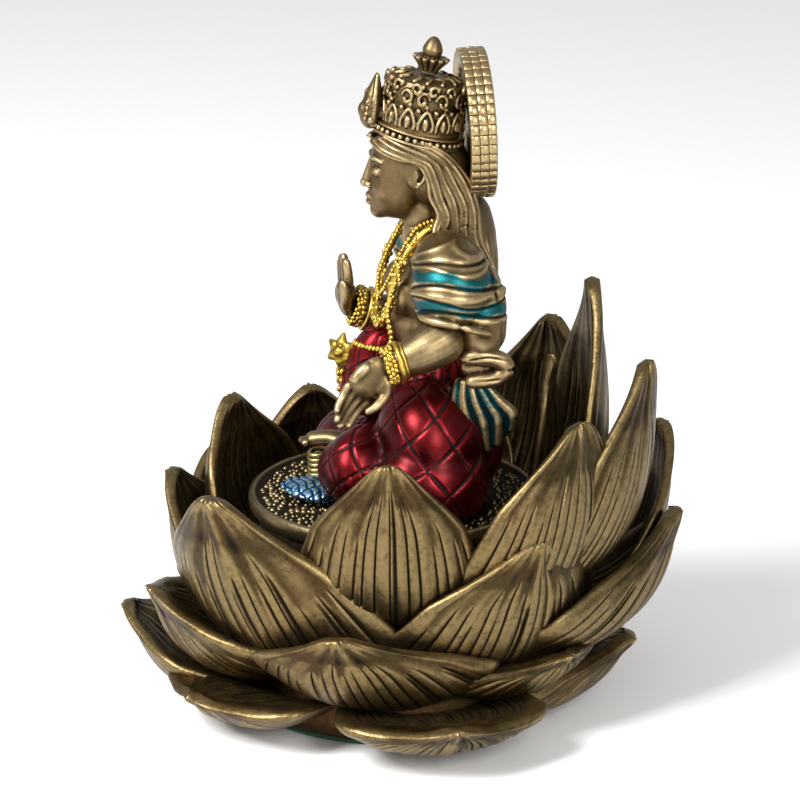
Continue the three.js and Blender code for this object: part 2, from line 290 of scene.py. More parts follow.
# %% The petal's shape
PETAL_WIDTHS = smooth_line(
    [[0, 0.8], [0.12, 0.9], [0.25, 0.97], [0.4, 1.0], [0.52, 0.99], [0.65, 0.93], [0.77, 0.82], [0.88, 0.66],
     [1, 0.48]], 200)
PETAL_ROWS = (160, 64)
VEIN = 0.015  # half the width of a vein, as a share of half the petal


def petal(azimuth, reach, rise, sway=0.0, *, root, width, belly, lift, cup, fill=0.0, veins=11, seed=0):
    draw = np.random.default_rng(seed)
    angle = math.radians(azimuth)
    out = np.array([math.cos(angle), math.sin(angle), 0])
    side = np.array([math.sin(angle), -math.cos(angle), 0])
    start = np.array(root, float)
    bend = np.array([reach + belly, root[1] + lift * (rise - root[1])])
    tip = np.array([reach, rise])
    sway = sway + draw.uniform(-1.6, 1.6)
    marks = {}

    def shape(v, around):
        # One column of points is one value of s, from -1 to 1 across the petal.
        turn = np.abs(around) / math.pi
        s = 0.7 * (1 - 2 * turn) + 0.3 * np.cos(math.pi * turn)
        columns = np.unique(np.round(s[np.abs(v - 0.5) < 0.01], 5))
        drawn = columns.copy()
        wanted = np.linspace(-0.82, 0.82, veins) + draw.uniform(-0.03, 0.03, veins)
        picks = [int(np.argmin(np.abs(columns - at))) for at in wanted]
        for pick in picks:
            drawn[pick - 1], drawn[pick + 1] = drawn[pick] - VEIN, drawn[pick] + VEIN
        s = np.interp(s, columns, drawn)
        centres = columns[picks]
        outer = around > 0
        t = 1 - (1 - v) ** 1.12
        q = t[:, None]
        line = start * (1 - q) ** 2 + bend * 2 * q * (1 - q) + tip * q**2
        along = unit((bend - start) * (1 - q) + (tip - bend) * q)
        half = np.interp(t, PETAL_WIDTHS[:, 0], PETAL_WIDTHS[:, 1]) * width / 2
        half = half * np.sqrt(np.clip(1 - np.clip((t - 0.82) / 0.18, 0, 1) ** 2, 0, 1))
        lip = smooth_step(0.80, 0.93, np.abs(s)) * smooth_step(0.05, 0.3, t)
        ring = smooth_step(0.66, 0.84, np.abs(s)) - smooth_step(0.84, 0.9, np.abs(s))
        thick = 1.5 * np.sqrt(np.maximum(1 - np.abs(s) ** 9, 0)) * (0.94 + 0.12 * lip)
        thick = thick * np.clip(half / 3.2, 0.3, 1) * np.where((v < 1e-3) | (v > 0.999), 0, 1)
        groove = np.zeros_like(s)
        for centre in centres:
            first = draw.uniform(0.0, 0.14)
            last = 0.95 - 0.22 * abs(centre) - draw.uniform(0, 0.2) * (draw.random() < 0.6)
            reachable = smooth_step(first, first + 0.1, t) * (1 - smooth_step(last - 0.12, last, t))
            near = np.clip(1 - np.abs(s - centre) / VEIN, 0, 1)
            strength = draw.uniform(0.45, 1.2) * np.where(outer, 1.0, 0.75)
            groove = np.maximum(groove, near * reachable * strength)
        rib = 0.16 * np.sin(s * 17 + seed) * np.sin(t * 3 + s * 5) * (1 - lip)
        keel = 0.55 * np.exp(-((s / 0.1) ** 2)) * smooth_step(0.45, 0.9, t) * np.where(outer, 1.0, -0.6)
        height = thick + (rib + keel) * (thick > 0.3) - 0.72 * groove * np.clip(half / 8, 0.35, 1)
        height = height - 0.12 * ring * np.where(outer, 1.0, 0.4) * smooth_step(0.1, 0.3, t)
        swelling = (1 - s**2) * np.sin(math.pi * np.clip(t * 1.05, 0, 1)) ** 0.8
        filled = fill * swelling * np.clip(half / 12, 0, 1)
        level = np.where(outer, height, -height - filled)
        marks["groove"] = groove
        marks["t"] = t
        marks["inner"] = ~outer
        wrap = s * half / cup * (1 - 0.35 * smooth_step(0.75, 1, t))
        inward = -along[:, 1:2] * out + along[:, 0:1] * np.array([0, 0, 1.0])
        curl = 1.5 * smooth_step(0.86, 1.0, t)[:, None]
        across = cup * np.sin(wrap)[:, None] * side
        spoon = cup * (1 - np.cos(wrap))[:, None] * inward
        normal = inward * np.cos(wrap)[:, None] - side * np.sin(wrap)[:, None]
        wave = (0.7 * np.sin(t * 6 + seed) + 0.5 * np.sin(t * 3 + 2 * seed)) * np.abs(s) ** 2
        place = line[:, :1] * out + line[:, 1:] * np.array([0, 0, 1.0])
        place = place + across + spoon - normal * level[:, None] + side * (sway * t**2)[:, None]
        return place + normal * (wave - curl[:, 0])[:, None]

    mesh = pulled(*PETAL_ROWS, shape)
    # Painted shade darkens each petal towards its root, where the tiers overlap, and painted light lifts the
    # inner faces so they read less shaded. Both go into the cavity value along with the carved veins.
    painted_root_shade_inner_light = 0.2 * (1 - smooth_step(0.0, 0.4, marks["t"])) - 0.28 * marks["inner"]
    mark_cavity(mesh, extra=0.75 * marks["groove"] + painted_root_shade_inner_light, broad=(14, 0.5))
    return mesh


# %% [markdown]
# The petals stand in four tiers, with one more tucked in behind the figure. The tier gives what its petals
# share, and each row gives one petal: its compass angle, how far out and how high its tip is, and how far
# the tip sways aside.

# %% Set out the tiers of petals
TIERS = {
    "ground_petal": (
        dict(root=(29, 4.0), width=51, belly=-5, lift=-0.35, cup=38, fill=6, veins=17),
        [(7, 60, 14.5), (61, 52, 17, -12), (126, 57, 13), (170, 57, 14), (215, 57, 13), (265, 60, 22),
         (302, 56, 13)]),
    "lower_petal": (
        dict(root=(29, 10), width=58, belly=-1, lift=0.0, cup=36, fill=5, veins=17),
        [(-9, 54.5, 33.5, 10), (37, 50, 22, -6), (126, 57, 30), (171, 56, 29), (222, 56, 29),
         (286, 56, 32.5)]),
    "middle_petal": (
        dict(root=(28, 14), width=60, belly=3, lift=0.06, cup=34, fill=1.5, veins=18),
        [(30, 50, 51, -3), (67, 61.4, 46, -14), (104, 65, 58), (148, 55, 50), (190, 53, 46), (224, 52, 48),
         (255, 50, 51), (321, 52.4, 60, 12.5)]),
    "inner_petal": (
        dict(root=(29, 25), width=46, belly=12, lift=0.22, cup=28, fill=0, veins=15),
        [(-8, 45, 70), (38, 49.5, 75, -7), (61, 54.5, 83, -10.6), (92, 45, 95, -6.3), (126, 48, 80),
         (163, 45, 68), (200, 46, 59), (235, 40, 64.5)]),
}
total = 0
for tier, (shared, tips) in TIERS.items():
    for number, tip in enumerate(tips, 1):
        name = f"{tier}_{number}"
        total += 1
        mesh = petal(*tip, seed=total, **shared)
        piece(mesh, name + "_leaf", "antique_bronze", dark_bronze, name)
mesh = petal(78, 33.5, 82, root=(32, 48), width=18, belly=6, lift=0.4, cup=15, veins=6, seed=50)
piece(mesh, "back_petal_leaf", "antique_bronze", dark_bronze, "back_petal")
print("petals:", total + 1, "points in each:", len(mesh.vertices))

# %% [markdown]
# The body was first modelled in clay, with lumps pressed together and smoothed, so it is built the same
# way. `tube` pulls a sphere along a curve, `lump` scales one, and `clay` joins the lumps with a voxel
# remesh into one skin and rubs it smooth. `near` then measures how far each point lies from a drawn line,
# which is how folds, fingers' creases and seams are pressed in or raised.

# %% Modelling clay
def tube(points, radii, around=16, along=26, flat=1.0, up=(0, 0, 1)):
    """A round-ended tube along a curve. flat below 1 thins it along `up`."""
    line = smooth_line(points, 160)
    lengths = np.linalg.norm(np.diff(line, axis=0), axis=1)
    arc = np.concatenate([[0], np.cumsum(lengths)])
    total = arc[-1]
    widths = np.interp(np.linspace(0, 1, 160), np.linspace(0, 1, len(radii)), radii)

    def shape(v, angle):
        u = (0.55 * v + 0.45 * (1 - np.cos(math.pi * v)) / 2) * total
        centre = np.stack([np.interp(u, arc, line[:, k]) for k in range(3)], axis=1)
        ahead = np.stack([np.interp(u + 0.02 * total, arc, line[:, k]) for k in range(3)], axis=1)
        behind = np.stack([np.interp(u - 0.02 * total, arc, line[:, k]) for k in range(3)], axis=1)
        tangent = unit(ahead - behind)
        first = unit(np.array(up, float) - (tangent @ np.array(up, float))[:, None] * tangent)
        second = np.cross(tangent, first)
        radius = np.interp(u, arc, widths)
        for gap, end in ((u, radii[0]), (total - u, radii[-1])):
            cap = min(end, total * 0.45)
            radius = radius * np.sqrt(np.clip(1 - (1 - np.clip(gap / cap, 0, 1)) ** 2, 0, 1))
        around_it = first * (flat * np.cos(angle))[:, None] + second * np.sin(angle)[:, None]
        return centre + around_it * radius[:, None]

    return pulled(around, along, shape)


def lump(centre, radii, around=24, along=16):
    mesh = sphere(around, along)
    write_points(mesh, read_points(mesh) * radii + centre)
    return mesh


def joined(meshes):
    bm = bmesh.new()
    for mesh in meshes:
        bm.from_mesh(mesh)
        bpy.data.meshes.remove(mesh)
    whole = bpy.data.meshes.new("joined")
    bm.to_mesh(whole)
    bm.free()
    return whole


def clay(meshes, grain, rounds=6):
    whole = joined(meshes)
    model = bpy.data.objects.new("clay", whole)
    bpy.context.scene.collection.objects.link(model)
    remesh = model.modifiers.new("one skin", "REMESH")
    remesh.mode = "VOXEL"
    remesh.voxel_size = grain * MM
    graph = bpy.context.evaluated_depsgraph_get()
    mesh = bpy.data.meshes.new_from_object(model.evaluated_get(graph))
    bpy.data.objects.remove(model)
    bpy.data.meshes.remove(whole)
    write_points(mesh, relaxed(read_points(mesh), edge_pairs(mesh), rounds))
    return mesh


def mirror(side, points):
    """Points drawn on her left, carried to the other side when side is -1."""
    return [(side * x, y, z) for x, y, z in points]


def both_sides(points):
    """A curve drawn on her left side and carried on, mirrored, over her right."""
    return points + mirror(-1, points[-2::-1])


def near(points, line):
    """The distance from each point to a polyline, and how far along it (0 to 1) the nearest place is."""
    best = np.full(len(points), 1e9)
    where = np.zeros(len(points))
    for i in range(len(line) - 1):
        step = line[i + 1] - line[i]
        t = np.clip((points - line[i]) @ step / (step @ step), 0, 1)
        gap = np.linalg.norm(points - line[i] - t[:, None] * step, axis=1)
        closer = gap < best
        best[closer] = gap[closer]
        where[closer] = (i + t[closer]) / (len(line) - 1)
    return best, where


def press(mesh, lines):
    """Moves the skin along its normals by each (points, width, height); a negative height is a groove."""
    points, normals = read_points(mesh), normals_of(mesh)
    move = np.zeros(len(points))
    for way, width, height in lines:
        gap, along = near(points, smooth_line(way, 24))
        ends = smooth_step(0, 0.18, along) * (1 - smooth_step(0.82, 1, along))
        move += height * np.exp(-((gap / width) ** 2)) * (0.15 + 0.85 * ends)
    write_points(mesh, points + normals * move[:, None])


def shifted(mesh, move):
    write_points(mesh, read_points(mesh) + normals_of(mesh) * move[:, None])


# %% [markdown]
# The skirt is the mass of the crossed legs under a quilted sari, in clear red paint over the metal. The
# quilting is two families of slanted cuts. They are laid out in angles round the middle of the lap, so that
# they run on over the thigh and the knee without stretching, and the cloth swells a little between them.

# %% The quilted skirt
SEAT_TOP = 48.15  # the skirt lies flat on the seat here


def quilt(points, pitch=6.0):
    x, y, z = (points - np.array([0, 4, 56])).T
    around = np.arctan2(y, np.abs(x)) * 25
    up = np.arctan2(z, np.hypot(x, y)) * 24
    gap = np.full(len(points), 9.0)
    swell = np.ones(len(points))
    for angle, start in ((36, 1.2), (-58, 2.6)):
        turn = math.radians(angle)
        across = -around * math.sin(turn) + up * math.cos(turn) + start
        across = across + 0.5 * np.sin(around * 0.21 + start) + 0.35 * np.sin(up * 0.3 + angle)
        off = np.abs((across / pitch + 0.5) % 1 - 0.5) * pitch
        gap = np.minimum(gap, off)
        swell = swell * np.sin(np.clip(off / pitch, 0, 0.5) * math.pi)
    cut = np.exp(-((gap / (0.2 + 0.1 * np.sin(x * 0.5 + z))) ** 2))
    return cut, swell


mesh = clay([
    tube([(10, 13, 64), (18, 4, 65.5), (22, -4.5, 64.5)], [14.4, 13.6, 12.2], 32, 24),
    tube([(22, -4.5, 63), (14, -10, 58.5), (5, -13, 55)], [11.6, 8.6, 6.2], 28, 24),
    tube([(-10, 13, 62), (-17.5, 4, 60), (-22.5, -5, 57.5)], [13.6, 12, 9.4], 32, 24),
    tube([(-22.5, -5, 57), (-14, -10, 55), (-4, -13, 54)], [9, 7.4, 6], 28, 24),
    lump((0, 12.5, 61), (22.8, 12.6, 13.2)), lump((0, -1, 57), (21, 14, 9)),
    tube([(20.5, -7, 57.5), (22.5, 6, 58), (17, 18, 58)], [9, 10.4, 10], 28, 24),
    tube([(0, 8.5, 70), (0, 7, 77), (0, 6.0, 86.5)], [12.5, 10.8, 9.8], 28, 20),
    tube([(0, 0.5, 87), (-1, -4, 82), (-2, -5.5, 75), (-2, -6, 66)], [3.6, 5.2, 6.6, 8.0], 28, 20,
         up=(0, 1, 0)),
], 0.42, 34)
cut, swell = quilt(read_points(mesh))
shifted(mesh, 0.16 * swell - 0.36 * cut)
points = read_points(mesh)
points[:, 2] = np.maximum(points[:, 2], SEAT_TOP)
write_points(mesh, points)
mark_cavity(mesh, extra=0.85 * cut)
store(mesh, "cut", cut)

red = Finish("candy_red")
cavity, cut_mark = red.attribute("cavity"), red.attribute("cut")
cloud = red.noise(70.0, 3.0)
dark = (cavity + (cloud - 0.5) * 0.4).step(0.1, 0.75)
bright = ((cloud - 0.5) * 0.8 - cavity).step(0.05, 0.7)
color = red.mix(bright * 0.7, (0.048, 0.0012, 0.002), (0.22, 0.008, 0.011))
color = red.mix(dark * 0.92, color, (0.008, 0.002, 0.002))
red.set(Base_Color=color, Metallic=0.92 - dark * 0.15, Roughness=0.37 + dark * 0.25 + (cloud - 0.5) * 0.2)
red.set(Coat_Weight=0.05, Coat_Roughness=0.25)
red.bump(red.noise(700.0, 3.0) + red.noise(180.0, 2.0), 0.00012, 0.45)
piece(mesh, "quilted_skirt", "red_paint", red.material, "sari_skirt")
print("skirt points:", len(mesh.vertices))

# %% [markdown]
# The torso is mostly hidden under jewellery and shawl: a narrow waist, a bodice and shoulders that the
# sleeves wrap, with the shawl's weight down each side of the back. Raised lines mark the bodice's neck and
# lower hem, and soft folds run between them.

# %% The torso
mesh = clay([
    tube([(0, 7, 80), (0, 7.4, 88), (0, 8, 97)], [9.6, 10.2, 12.4], 28, 20, flat=0.82, up=(0, 1, 0)),
    lump((0, 8, 97), (13.2, 9, 9.5)), lump((0, 2.4, 97), (9.6, 4.2, 6.2)),
    lump((4.6, 1.8, 96.8), (5.2, 3.8, 5.2)), lump((-4.6, 1.8, 96.8), (5.2, 3.8, 5.2)),
    tube([(-14, 9.4, 104), (-6, 8.5, 106.5), (6, 8.5, 106.5), (14, 9.4, 104)], [6, 5.8, 5.8, 6], 24, 24),
    tube([(0, 8, 104), (0, 6.6, 110), (0, 6, 114)], [6.2, 4.9, 4.7], 24, 16, up=(0, 1, 0)),
    tube([(-9, 13, 103), (-11.5, 14, 93), (-10, 12.5, 84)], [5.6, 6.4, 5.4], 24, 20, up=(0, 1, 0)),
    tube([(9, 13, 103), (11.5, 14, 93), (10, 12.5, 84)], [5.6, 6.4, 5.4], 24, 20, up=(0, 1, 0)),
], 0.42, 14)
neckline = both_sides([(8.6, 3.4, 108.4), (7.4, 0.4, 104.6), (4.2, -1.2, 102.2), (0, -1.6, 101.4)])
hem_line = both_sides([(11.4, 3.0, 91.6), (8, -0.6, 90.4), (4, -2.2, 89.8), (0, -2.4, 89.6)])
folds = [(neckline, 0.55, 0.5), ([(x, y, z - 1.1) for x, y, z in neckline], 0.3, -0.25), (hem_line, 0.6, 0.6),
         ([(x, y, z + 1.2) for x, y, z in hem_line], 0.3, -0.3)]
for side in (1, -1):
    for k in range(4):
        fold = [(2 + 1.6 * k, -2.6, 100.5 - 0.6 * k), (3.4 + 1.8 * k, -2.4, 96.5 - 0.4 * k),
                (2.6 + 1.9 * k, -1.8, 92)]
        folds.append((mirror(side, fold), 0.35, -0.28))
press(mesh, folds)
mark_cavity(mesh)
piece(mesh, "bodice", "antique_bronze", bronze, "torso")

# %% [markdown]
# The shawl hangs from both shoulders as a loose sleeve. Its folds wrap the arm in bows, high in the middle
# and dropping to front and back, so they are drawn in the arm's own angle and height. Two bands of teal
# glaze follow the same bows. The glaze is a value measured in millimetres from the band's edge, and the
# finish turns the place where it passes zero into a crisp painted edge.

# %% The draped sleeves
def sleeve(side):
    hem = [(side * (19.0 + 8.3 * math.cos(a)), 12.0 + 8.6 * math.sin(a),
            94.6 - 2.2 * math.sin(a) + 0.5 * math.cos(3 * a))
           for a in np.linspace(0, 2 * math.pi, 14)]
    mesh = clay([
        tube(mirror(side, [(8, 9, 109), (13, 9.8, 107), (17.5, 11, 102.5), (19.2, 12, 92.2)]),
             [5.0, 7.2, 9.2, 9.2], 32, 30, up=(0, 1, 0)),
        tube(mirror(side, [(13, 14.5, 106), (18, 16.8, 98), (20, 17.4, 91), (21, 16, 86)]),
             [6, 6.4, 5.2, 3.2], 28, 24, up=(0, 1, 0)),
        tube(hem, [0.9, 0.9], 12, 60),
    ], 0.38, 9)
    points = read_points(mesh)
    x, y, z = (points * [side, 1, 1]).T
    angle = np.arctan2(y - 12, x - 17.5)
    bow = z - 1.6 * np.cos(angle + 0.15) + 0.9 * np.sin(angle * 2.3 + 0.5)
    open_side = smooth_step(-2.6, -1.6, angle) * (1 - smooth_step(1.3, 2.2, angle))
    folds = ((109.2, 0.7, 0.3), (107.1, 0.45, -0.32), (105.8, 0.4, 0.2), (101.9, 0.45, -0.45),
             (100.2, 0.9, 0.4), (98.7, 0.35, -0.3), (95.7, 0.45, -0.4), (94.6, 0.7, 0.25))
    move = np.zeros(len(points))
    for level, width, height in folds:
        wander = level + 0.7 * np.sin(angle * 1.7 + level)
        move += height * np.exp(-(((bow - wander) / width) ** 2)) * (0.35 + 0.65 * open_side)
    shifted(mesh, move)
    press(mesh, [
        (mirror(side, [(7, 4, 108), (12, 2.5, 103), (15, 2.2, 97)]), 0.7, -0.7),
        (mirror(side, [(9.5, 3.6, 109.5), (15, 3.4, 105), (18, 2.4, 99)]), 0.8, 0.6),
        (mirror(side, [(14, 9, 113), (20, 13, 108), (24, 18, 101)]), 0.9, -0.6),
        (mirror(side, [(11, 14, 113), (17, 18, 108), (21, 22, 100)]), 0.9, 0.5),
        (mirror(side, [(22, 20, 104), (24, 22, 96), (23, 22, 88)]), 0.8, -0.7),
        (mirror(side, [(18, 22.5, 104), (21, 24, 96), (21, 22, 87)]), 0.8, 0.5),
    ])
    wobble = 0.35 * np.sin(angle * 5) + 0.2 * np.sin(angle * 11 + 1)
    front = 1.0 - 2.2 * smooth_step(0.9, 1.7, angle) - 2.2 * (1 - smooth_step(-2.5, -2.0, angle))
    band = np.maximum(1.2 - np.abs(bow - 103.7 + wobble), 1.35 - np.abs(bow - 97.2 + wobble))
    store(mesh, "band", np.minimum(band, front * 3))
    mark_cavity(mesh)
    return mesh


def glazed(name, glaze, deep):
    """Bronze with a clear metallic glaze wherever the band value is above zero, rubbed thin on the ridges."""
    look = aged_metal(name)
    band = look.attribute("band")
    cavity = look.attribute("cavity")
    cloud = look.noise(120.0, 3.0)
    base = Socket(look, look.shader.inputs["Base Color"].links[0].from_socket)
    painted = (band + (cloud - 0.5) * 0.9).step(-0.12, 0.16)
    paint = look.mix((cavity + cloud - 0.5).step(-0.35, 0.5), glaze, deep)
    worn = 1.0 - (0.0 - cavity).step(0.55, 1.1) * 0.5
    look.set(Base_Color=look.mix(painted * worn, base, paint))
    return look


teal = glazed("teal_glaze", (0.012, 0.105, 0.11), (0.002, 0.02, 0.028)).material
deep_teal = glazed("deep_teal_glaze", (0.008, 0.075, 0.08), (0.001, 0.008, 0.012)).material
piece(sleeve(1), "left_draped_sleeve", "antique_bronze", teal, "left_sleeve")
piece(sleeve(-1), "right_draped_sleeve", "antique_bronze", teal, "right_sleeve")

# %% [markdown]
# A hand is a flat palm, four fingers and a thumb. It is described by where the wrist is, which way the
# fingers point, which way the palm faces and which side the thumb is on, so one function makes both
# gestures: the right hand raised open in blessing, and the left hand resting over the knee with the palm
# turned out.

# %% Arms and hands
KNUCKLES = 7.2  # how far past the wrist the fingers start, on a hand of size 1


def hand(wrist, toward, palm, thumb_side, curl, size=1.0, spread=0.25, close=0.0):
    d = unit(np.array(toward, float))
    n = np.array(palm, float)
    n = unit(n - (n @ d) * d)
    w = unit(np.cross(d, n)) * thumb_side
    o = np.array(wrist, float)

    def at(along, across, out):
        return o + size * (along * d + across * w + out * n)

    palm_line = [at(-1, 0, 0), at(3, 0.1, 0.1), at(6.5, 0.1, 0), at(9, 0, -0.1)]
    lumps = [tube(palm_line, [2.9, 3.6, 4.3, 3.9], 24, 20, flat=0.52, up=n),
             tube([at(1.0, 1.9, 0.4), at(3.4, 2.5, 0.7), at(6, 2.6, 0.7)], [1.4, 1.7, 1.3], 16, 16),
             tube([at(1.5, -2.0, 0.4), at(4, -2.5, 0.5), at(7, -2.6, 0.5)], [1.2, 1.5, 1.2], 16, 16)]
    for place, length, width in ((2.95, 7.6, 1.02), (1.0, 8.6, 1.08), (-0.95, 8.0, 1.02), (-2.8, 6.3, 0.92)):
        fan = place * (1 + spread * 0.5)
        finger = [at(KNUCKLES, place, 0), at(KNUCKLES + length * 0.45, fan, 0.15 * curl),
                  at(KNUCKLES + length * 0.78, fan * 0.94, 1.2 * curl),
                  at(KNUCKLES + length, fan * 0.86, 2.6 * curl)]
        lumps.append(tube(finger, [width * 1.1, width * 1.05, width, width * 0.72], 14, 22))
    thumb = [at(1.8, 2.2, 0.9), at(4.6, 4.2, 1.5), at(7.6, 4.6 - close, 1.9 + close),
             at(10.2, 4.2 - 2 * close, 2.2 + close)]
    lumps.append(tube(thumb, [1.5, 1.35, 1.15, 0.8], 14, 22))
    return lumps


def arm(way, radii, lumps, creases=()):
    mesh = clay([tube(way, radii, 24, 28)] + lumps, 0.27, 5)
    press(mesh, list(creases))
    mark_cavity(mesh, fine=(3, 0.04), broad=(16, 0.25))
    return mesh


left_hand = hand((23.9, -5.0, 86.6), (0.03, -0.63, -0.77), (1, 0.15, -0.1), -1, 0.95, 1.1, spread=-0.4,
                 close=0.8)
mesh = arm([(19.8, 12.5, 92.5), (22.4, 5, 88.8), (23.3, -1.3, 86.4), (23.9, -5.2, 86.4)],
           [5.8, 5.0, 3.6, 3.2], left_hand,
           [([(27.8, -8.6, 84.2), (28.3, -10.4, 81.8), (27.6, -11.4, 78.8)], 0.4, -0.45),
            ([(28, -10.6, 85), (28, -12.6, 81.5), (27, -13.4, 78)], 0.35, -0.3)])
piece(mesh, "left_forearm_and_hand", "antique_bronze", bronze, "left_arm")
right_hand = hand((-17, -9.0, 86.0), (0.02, -0.06, 1), (0.25, -0.97, 0), 1, 0.15, 0.93, spread=-0.08)
mesh = arm([(-20.5, 9, 83.0), (-19.0, 2, 84.6), (-17.2, -4.6, 86.8), (-17, -9.0, 87.2)],
           [5.2, 4.7, 3.5, 2.8], right_hand)
piece(mesh, "right_forearm_and_hand", "antique_bronze", bronze, "right_arm")

# %% [markdown]
# The head is a general face, built from anatomy: a skull, a jaw, cheeks, the wedge of the nose, a brow,
# eyes set half way up the head under lowered lids, and two soft lips. It is remeshed finer than the body
# because its forms are small. The eyes, brows and ears are made for one side and then the other.

# %% The head
EYE_LINE = 124.6
skull = clay([
    lump((0, 4.6, 126.6), (8.3, 9.9, 9.0), 32, 24),
    lump((0, 0.6, 121.8), (6.9, 6.3, 8.9), 32, 24),
    lump((0, -0.8, 117.6), (5.0, 4.7, 4.3)), lump((0, -2.2, 118.2), (3.4, 4.0, 3.2)),
    lump((0, -3.2, 115.0), (2.5, 2.4, 2.0)), lump((3.0, -1.4, 120.4), (3.3, 3.6, 3.6)),
    lump((-3.0, -1.4, 120.4), (3.3, 3.6, 3.6)),
    tube([(0, 6.6, 119), (0, 6.6, 109.5)], [4.9, 5.2], 28, 16, up=(0, 1, 0)),
], 0.3, 22)
press(skull, [(mirror(side, [(1.4, -5.4, 124.8), (3.2, -5.2, EYE_LINE), (5.0, -3.8, 124.7)]), 1.5, -0.75)
              for side in (1, -1)])
parts = [
    skull, tube([(0, -4.6, 127.2), (0, -5.4, 124.6), (0, -6.0, 122.4), (0, -6.6, 121.4)],
         [0.9, 1.0, 1.25, 1.3], 20, 24, up=(0, 1, 0)),
    lump((0, -6.5, 121.4), (1.2, 1.2, 1.05)),
    tube([(-2.1, -4.9, 117.9), (-0.9, -5.75, 118.5), (0, -5.8, 118.3), (0.9, -5.75, 118.5),
          (2.1, -4.9, 117.9)],
         [0.35, 0.62, 0.62, 0.62, 0.35], 14, 26),
    tube([(-1.8, -5.0, 117.4), (0, -5.7, 117.0), (1.8, -5.0, 117.4)], [0.4, 0.75, 0.4], 14, 24),
]
for side in (1, -1):
    parts += [
        lump((side * 1.15, -5.6, 121.0), (0.8, 1.0, 0.75)),
        lump((side * 3.0, -3.9, EYE_LINE), (1.75, 1.35, 1.15)),
        tube(mirror(side, [(1.2, -5.0, 127.0), (3.2, -4.75, 127.7), (5.4, -3.1, 127.0)]),
             [0.5, 0.6, 0.4], 12, 18),
        tube(mirror(side, [(7.6, 3.4, 127.6), (8.5, 5.6, 127.4), (8.5, 6.0, 124.6), (7.6, 3.9, 121.6)]),
             [0.6, 0.8, 0.75, 0.75], 12, 24),
        lump((side * 7.4, 3.9, 124.4), (1.0, 1.9, 3.0)),
    ]
mesh = clay(parts, 0.2, 8)
lines = [([(-2.1, -5.4, 117.8), (-1, -6.2, 117.9), (0, -6.3, 117.75), (1, -6.2, 117.9),
           (2.1, -5.4, 117.8)], 0.18, -0.32),
         ([(0, -6.3, 120.2), (0, -6.2, 118.9)], 0.35, -0.18)]
for side in (1, -1):
    lines += [
        (mirror(side, [(1.5, -4.9, 124.4), (2.3, -5.3, 124.0), (3.4, -5.1, 123.9), (4.6, -4.0, 124.4)]),
         0.16, -0.26),
        (mirror(side, [(1.4, -4.8, 125.0), (2.3, -5.3, 125.7), (3.4, -5.1, 125.9), (4.8, -3.9, 125.1)]),
         0.17, -0.26),
        (mirror(side, [(8.6, 4.6, 126.4), (8.7, 5.0, 124.6), (8.3, 4.3, 122.8)]), 0.4, -0.5),
        (mirror(side, [(1.9, -5.9, 121.9), (2.3, -5.5, 120.8), (1.9, -5.5, 120.1)]), 0.28, -0.2),
    ]
press(mesh, lines)
mark_cavity(mesh, fine=(4, 0.04), broad=(24, 0.35))
piece(mesh, "head_and_neck", "antique_bronze", bronze, "head")
print("head points:", len(mesh.vertices))

# %% [markdown]
# Hair is a mass with locks laid over it. Each lock starts at the hairline under the crown, sweeps back over
# the ear and falls behind the shoulder in a slow wave. The locks are tapered tubes; remeshing them with the
# mass leaves a sharp valley between neighbours, which is where the dark stain settles.

# %% The hair
LOWEST_LOCK = [(1.6, -5.3, 131.8), (5.6, -3.2, 130.2), (8.0, 0.6, 128.9), (8.9, 4.6, 127.6),
               (9.3, 7.2, 124.2),
               (9.2, 8.0, 120.2), (9.4, 8.6, 116.4), (10.8, 8.8, 112.8), (13.4, 8.8, 110.2)]
HIGHEST_LOCK = [(5.4, -1.0, 134.2), (8.4, 4.5, 132.6), (8.8, 9.5, 130.0), (8.2, 13.2, 126.8),
                (8.0, 15.4, 122.0),
                (8.4, 17.2, 116.0), (9.0, 18.8, 109.5), (8.4, 20.2, 102.5), (6.4, 21.2, 95.5)]
locks = [
    lump((0, 8.6, 124.4), (8.3, 8.6, 8.6), 32, 24),
    tube([(0, 13.5, 119), (0, 16, 108), (0, 17, 95)], [6.6, 7.2, 5.8], 28, 24, up=(0, 1, 0)),
    tube([(5, 11.5, 117), (6.4, 14, 108), (6.6, 16, 98)], [3.8, 4.0, 3.2], 24, 24, up=(0, 1, 0)),
    tube([(-5, 11.5, 117), (-6.4, 14, 108), (-6.6, 16, 98)], [3.8, 4.0, 3.2], 24, 24, up=(0, 1, 0)),
    tube([(0, 18, 99), (0, 20, 91), (0, 21, 85)], [5.8, 4.6, 3.0], 20, 20, up=(0, 1, 0)),
]
for side in (1, -1):
    for k in range(9):
        f = k / 8
        way = np.array(LOWEST_LOCK) * (1 - f) + np.array(HIGHEST_LOCK) * f
        swing = np.sin(np.arange(9) * 2.2 + k * 0.45 + side) * np.linspace(0.1, 1.1, 9)
        way[:, 1] += swing * 0.9
        way[:, 0] = side * (way[:, 0] + 0.35 * (k % 2) + 0.3 * swing)
        locks.append(tube(way, [0.55, 0.85, 1.0, 1.05, 1.1, 1.1, 1.15, 1.0, 0.5], 14, 70))
        for shift in (-0.55, 0.45):
            strand_way = way + np.array([side * 0.7, shift, 0.35 * shift])
            locks.append(tube(strand_way, [0.3, 0.42, 0.46, 0.46, 0.46, 0.46, 0.4, 0.3], 8, 70))
for k in range(9):
    x = (k - 4) * 2.5
    wave = rng.uniform(-0.6, 0.6, 4)
    way = np.array([(x * 0.6, 16.4 - 0.07 * x * x, 121), (x + 2 * wave[0], 20.6 - 0.07 * x * x, 113),
                    (x * 1.05 + 2 * wave[1], 22.2 - 0.06 * x * x, 104),
                    (x * 0.9 + 2 * wave[2], 22.4 - 0.05 * x * x, 95),
                    (x * 0.5 + wave[3], 23.2, 87)])
    locks.append(tube(way, [0.8, 1.2, 1.3, 1.2, 0.5], 12, 50))
    locks.append(tube(way + np.array([0.4, 0.8, 0]), [0.3, 0.5, 0.5, 0.3], 8, 50))
mesh = clay(locks, 0.22, 1)
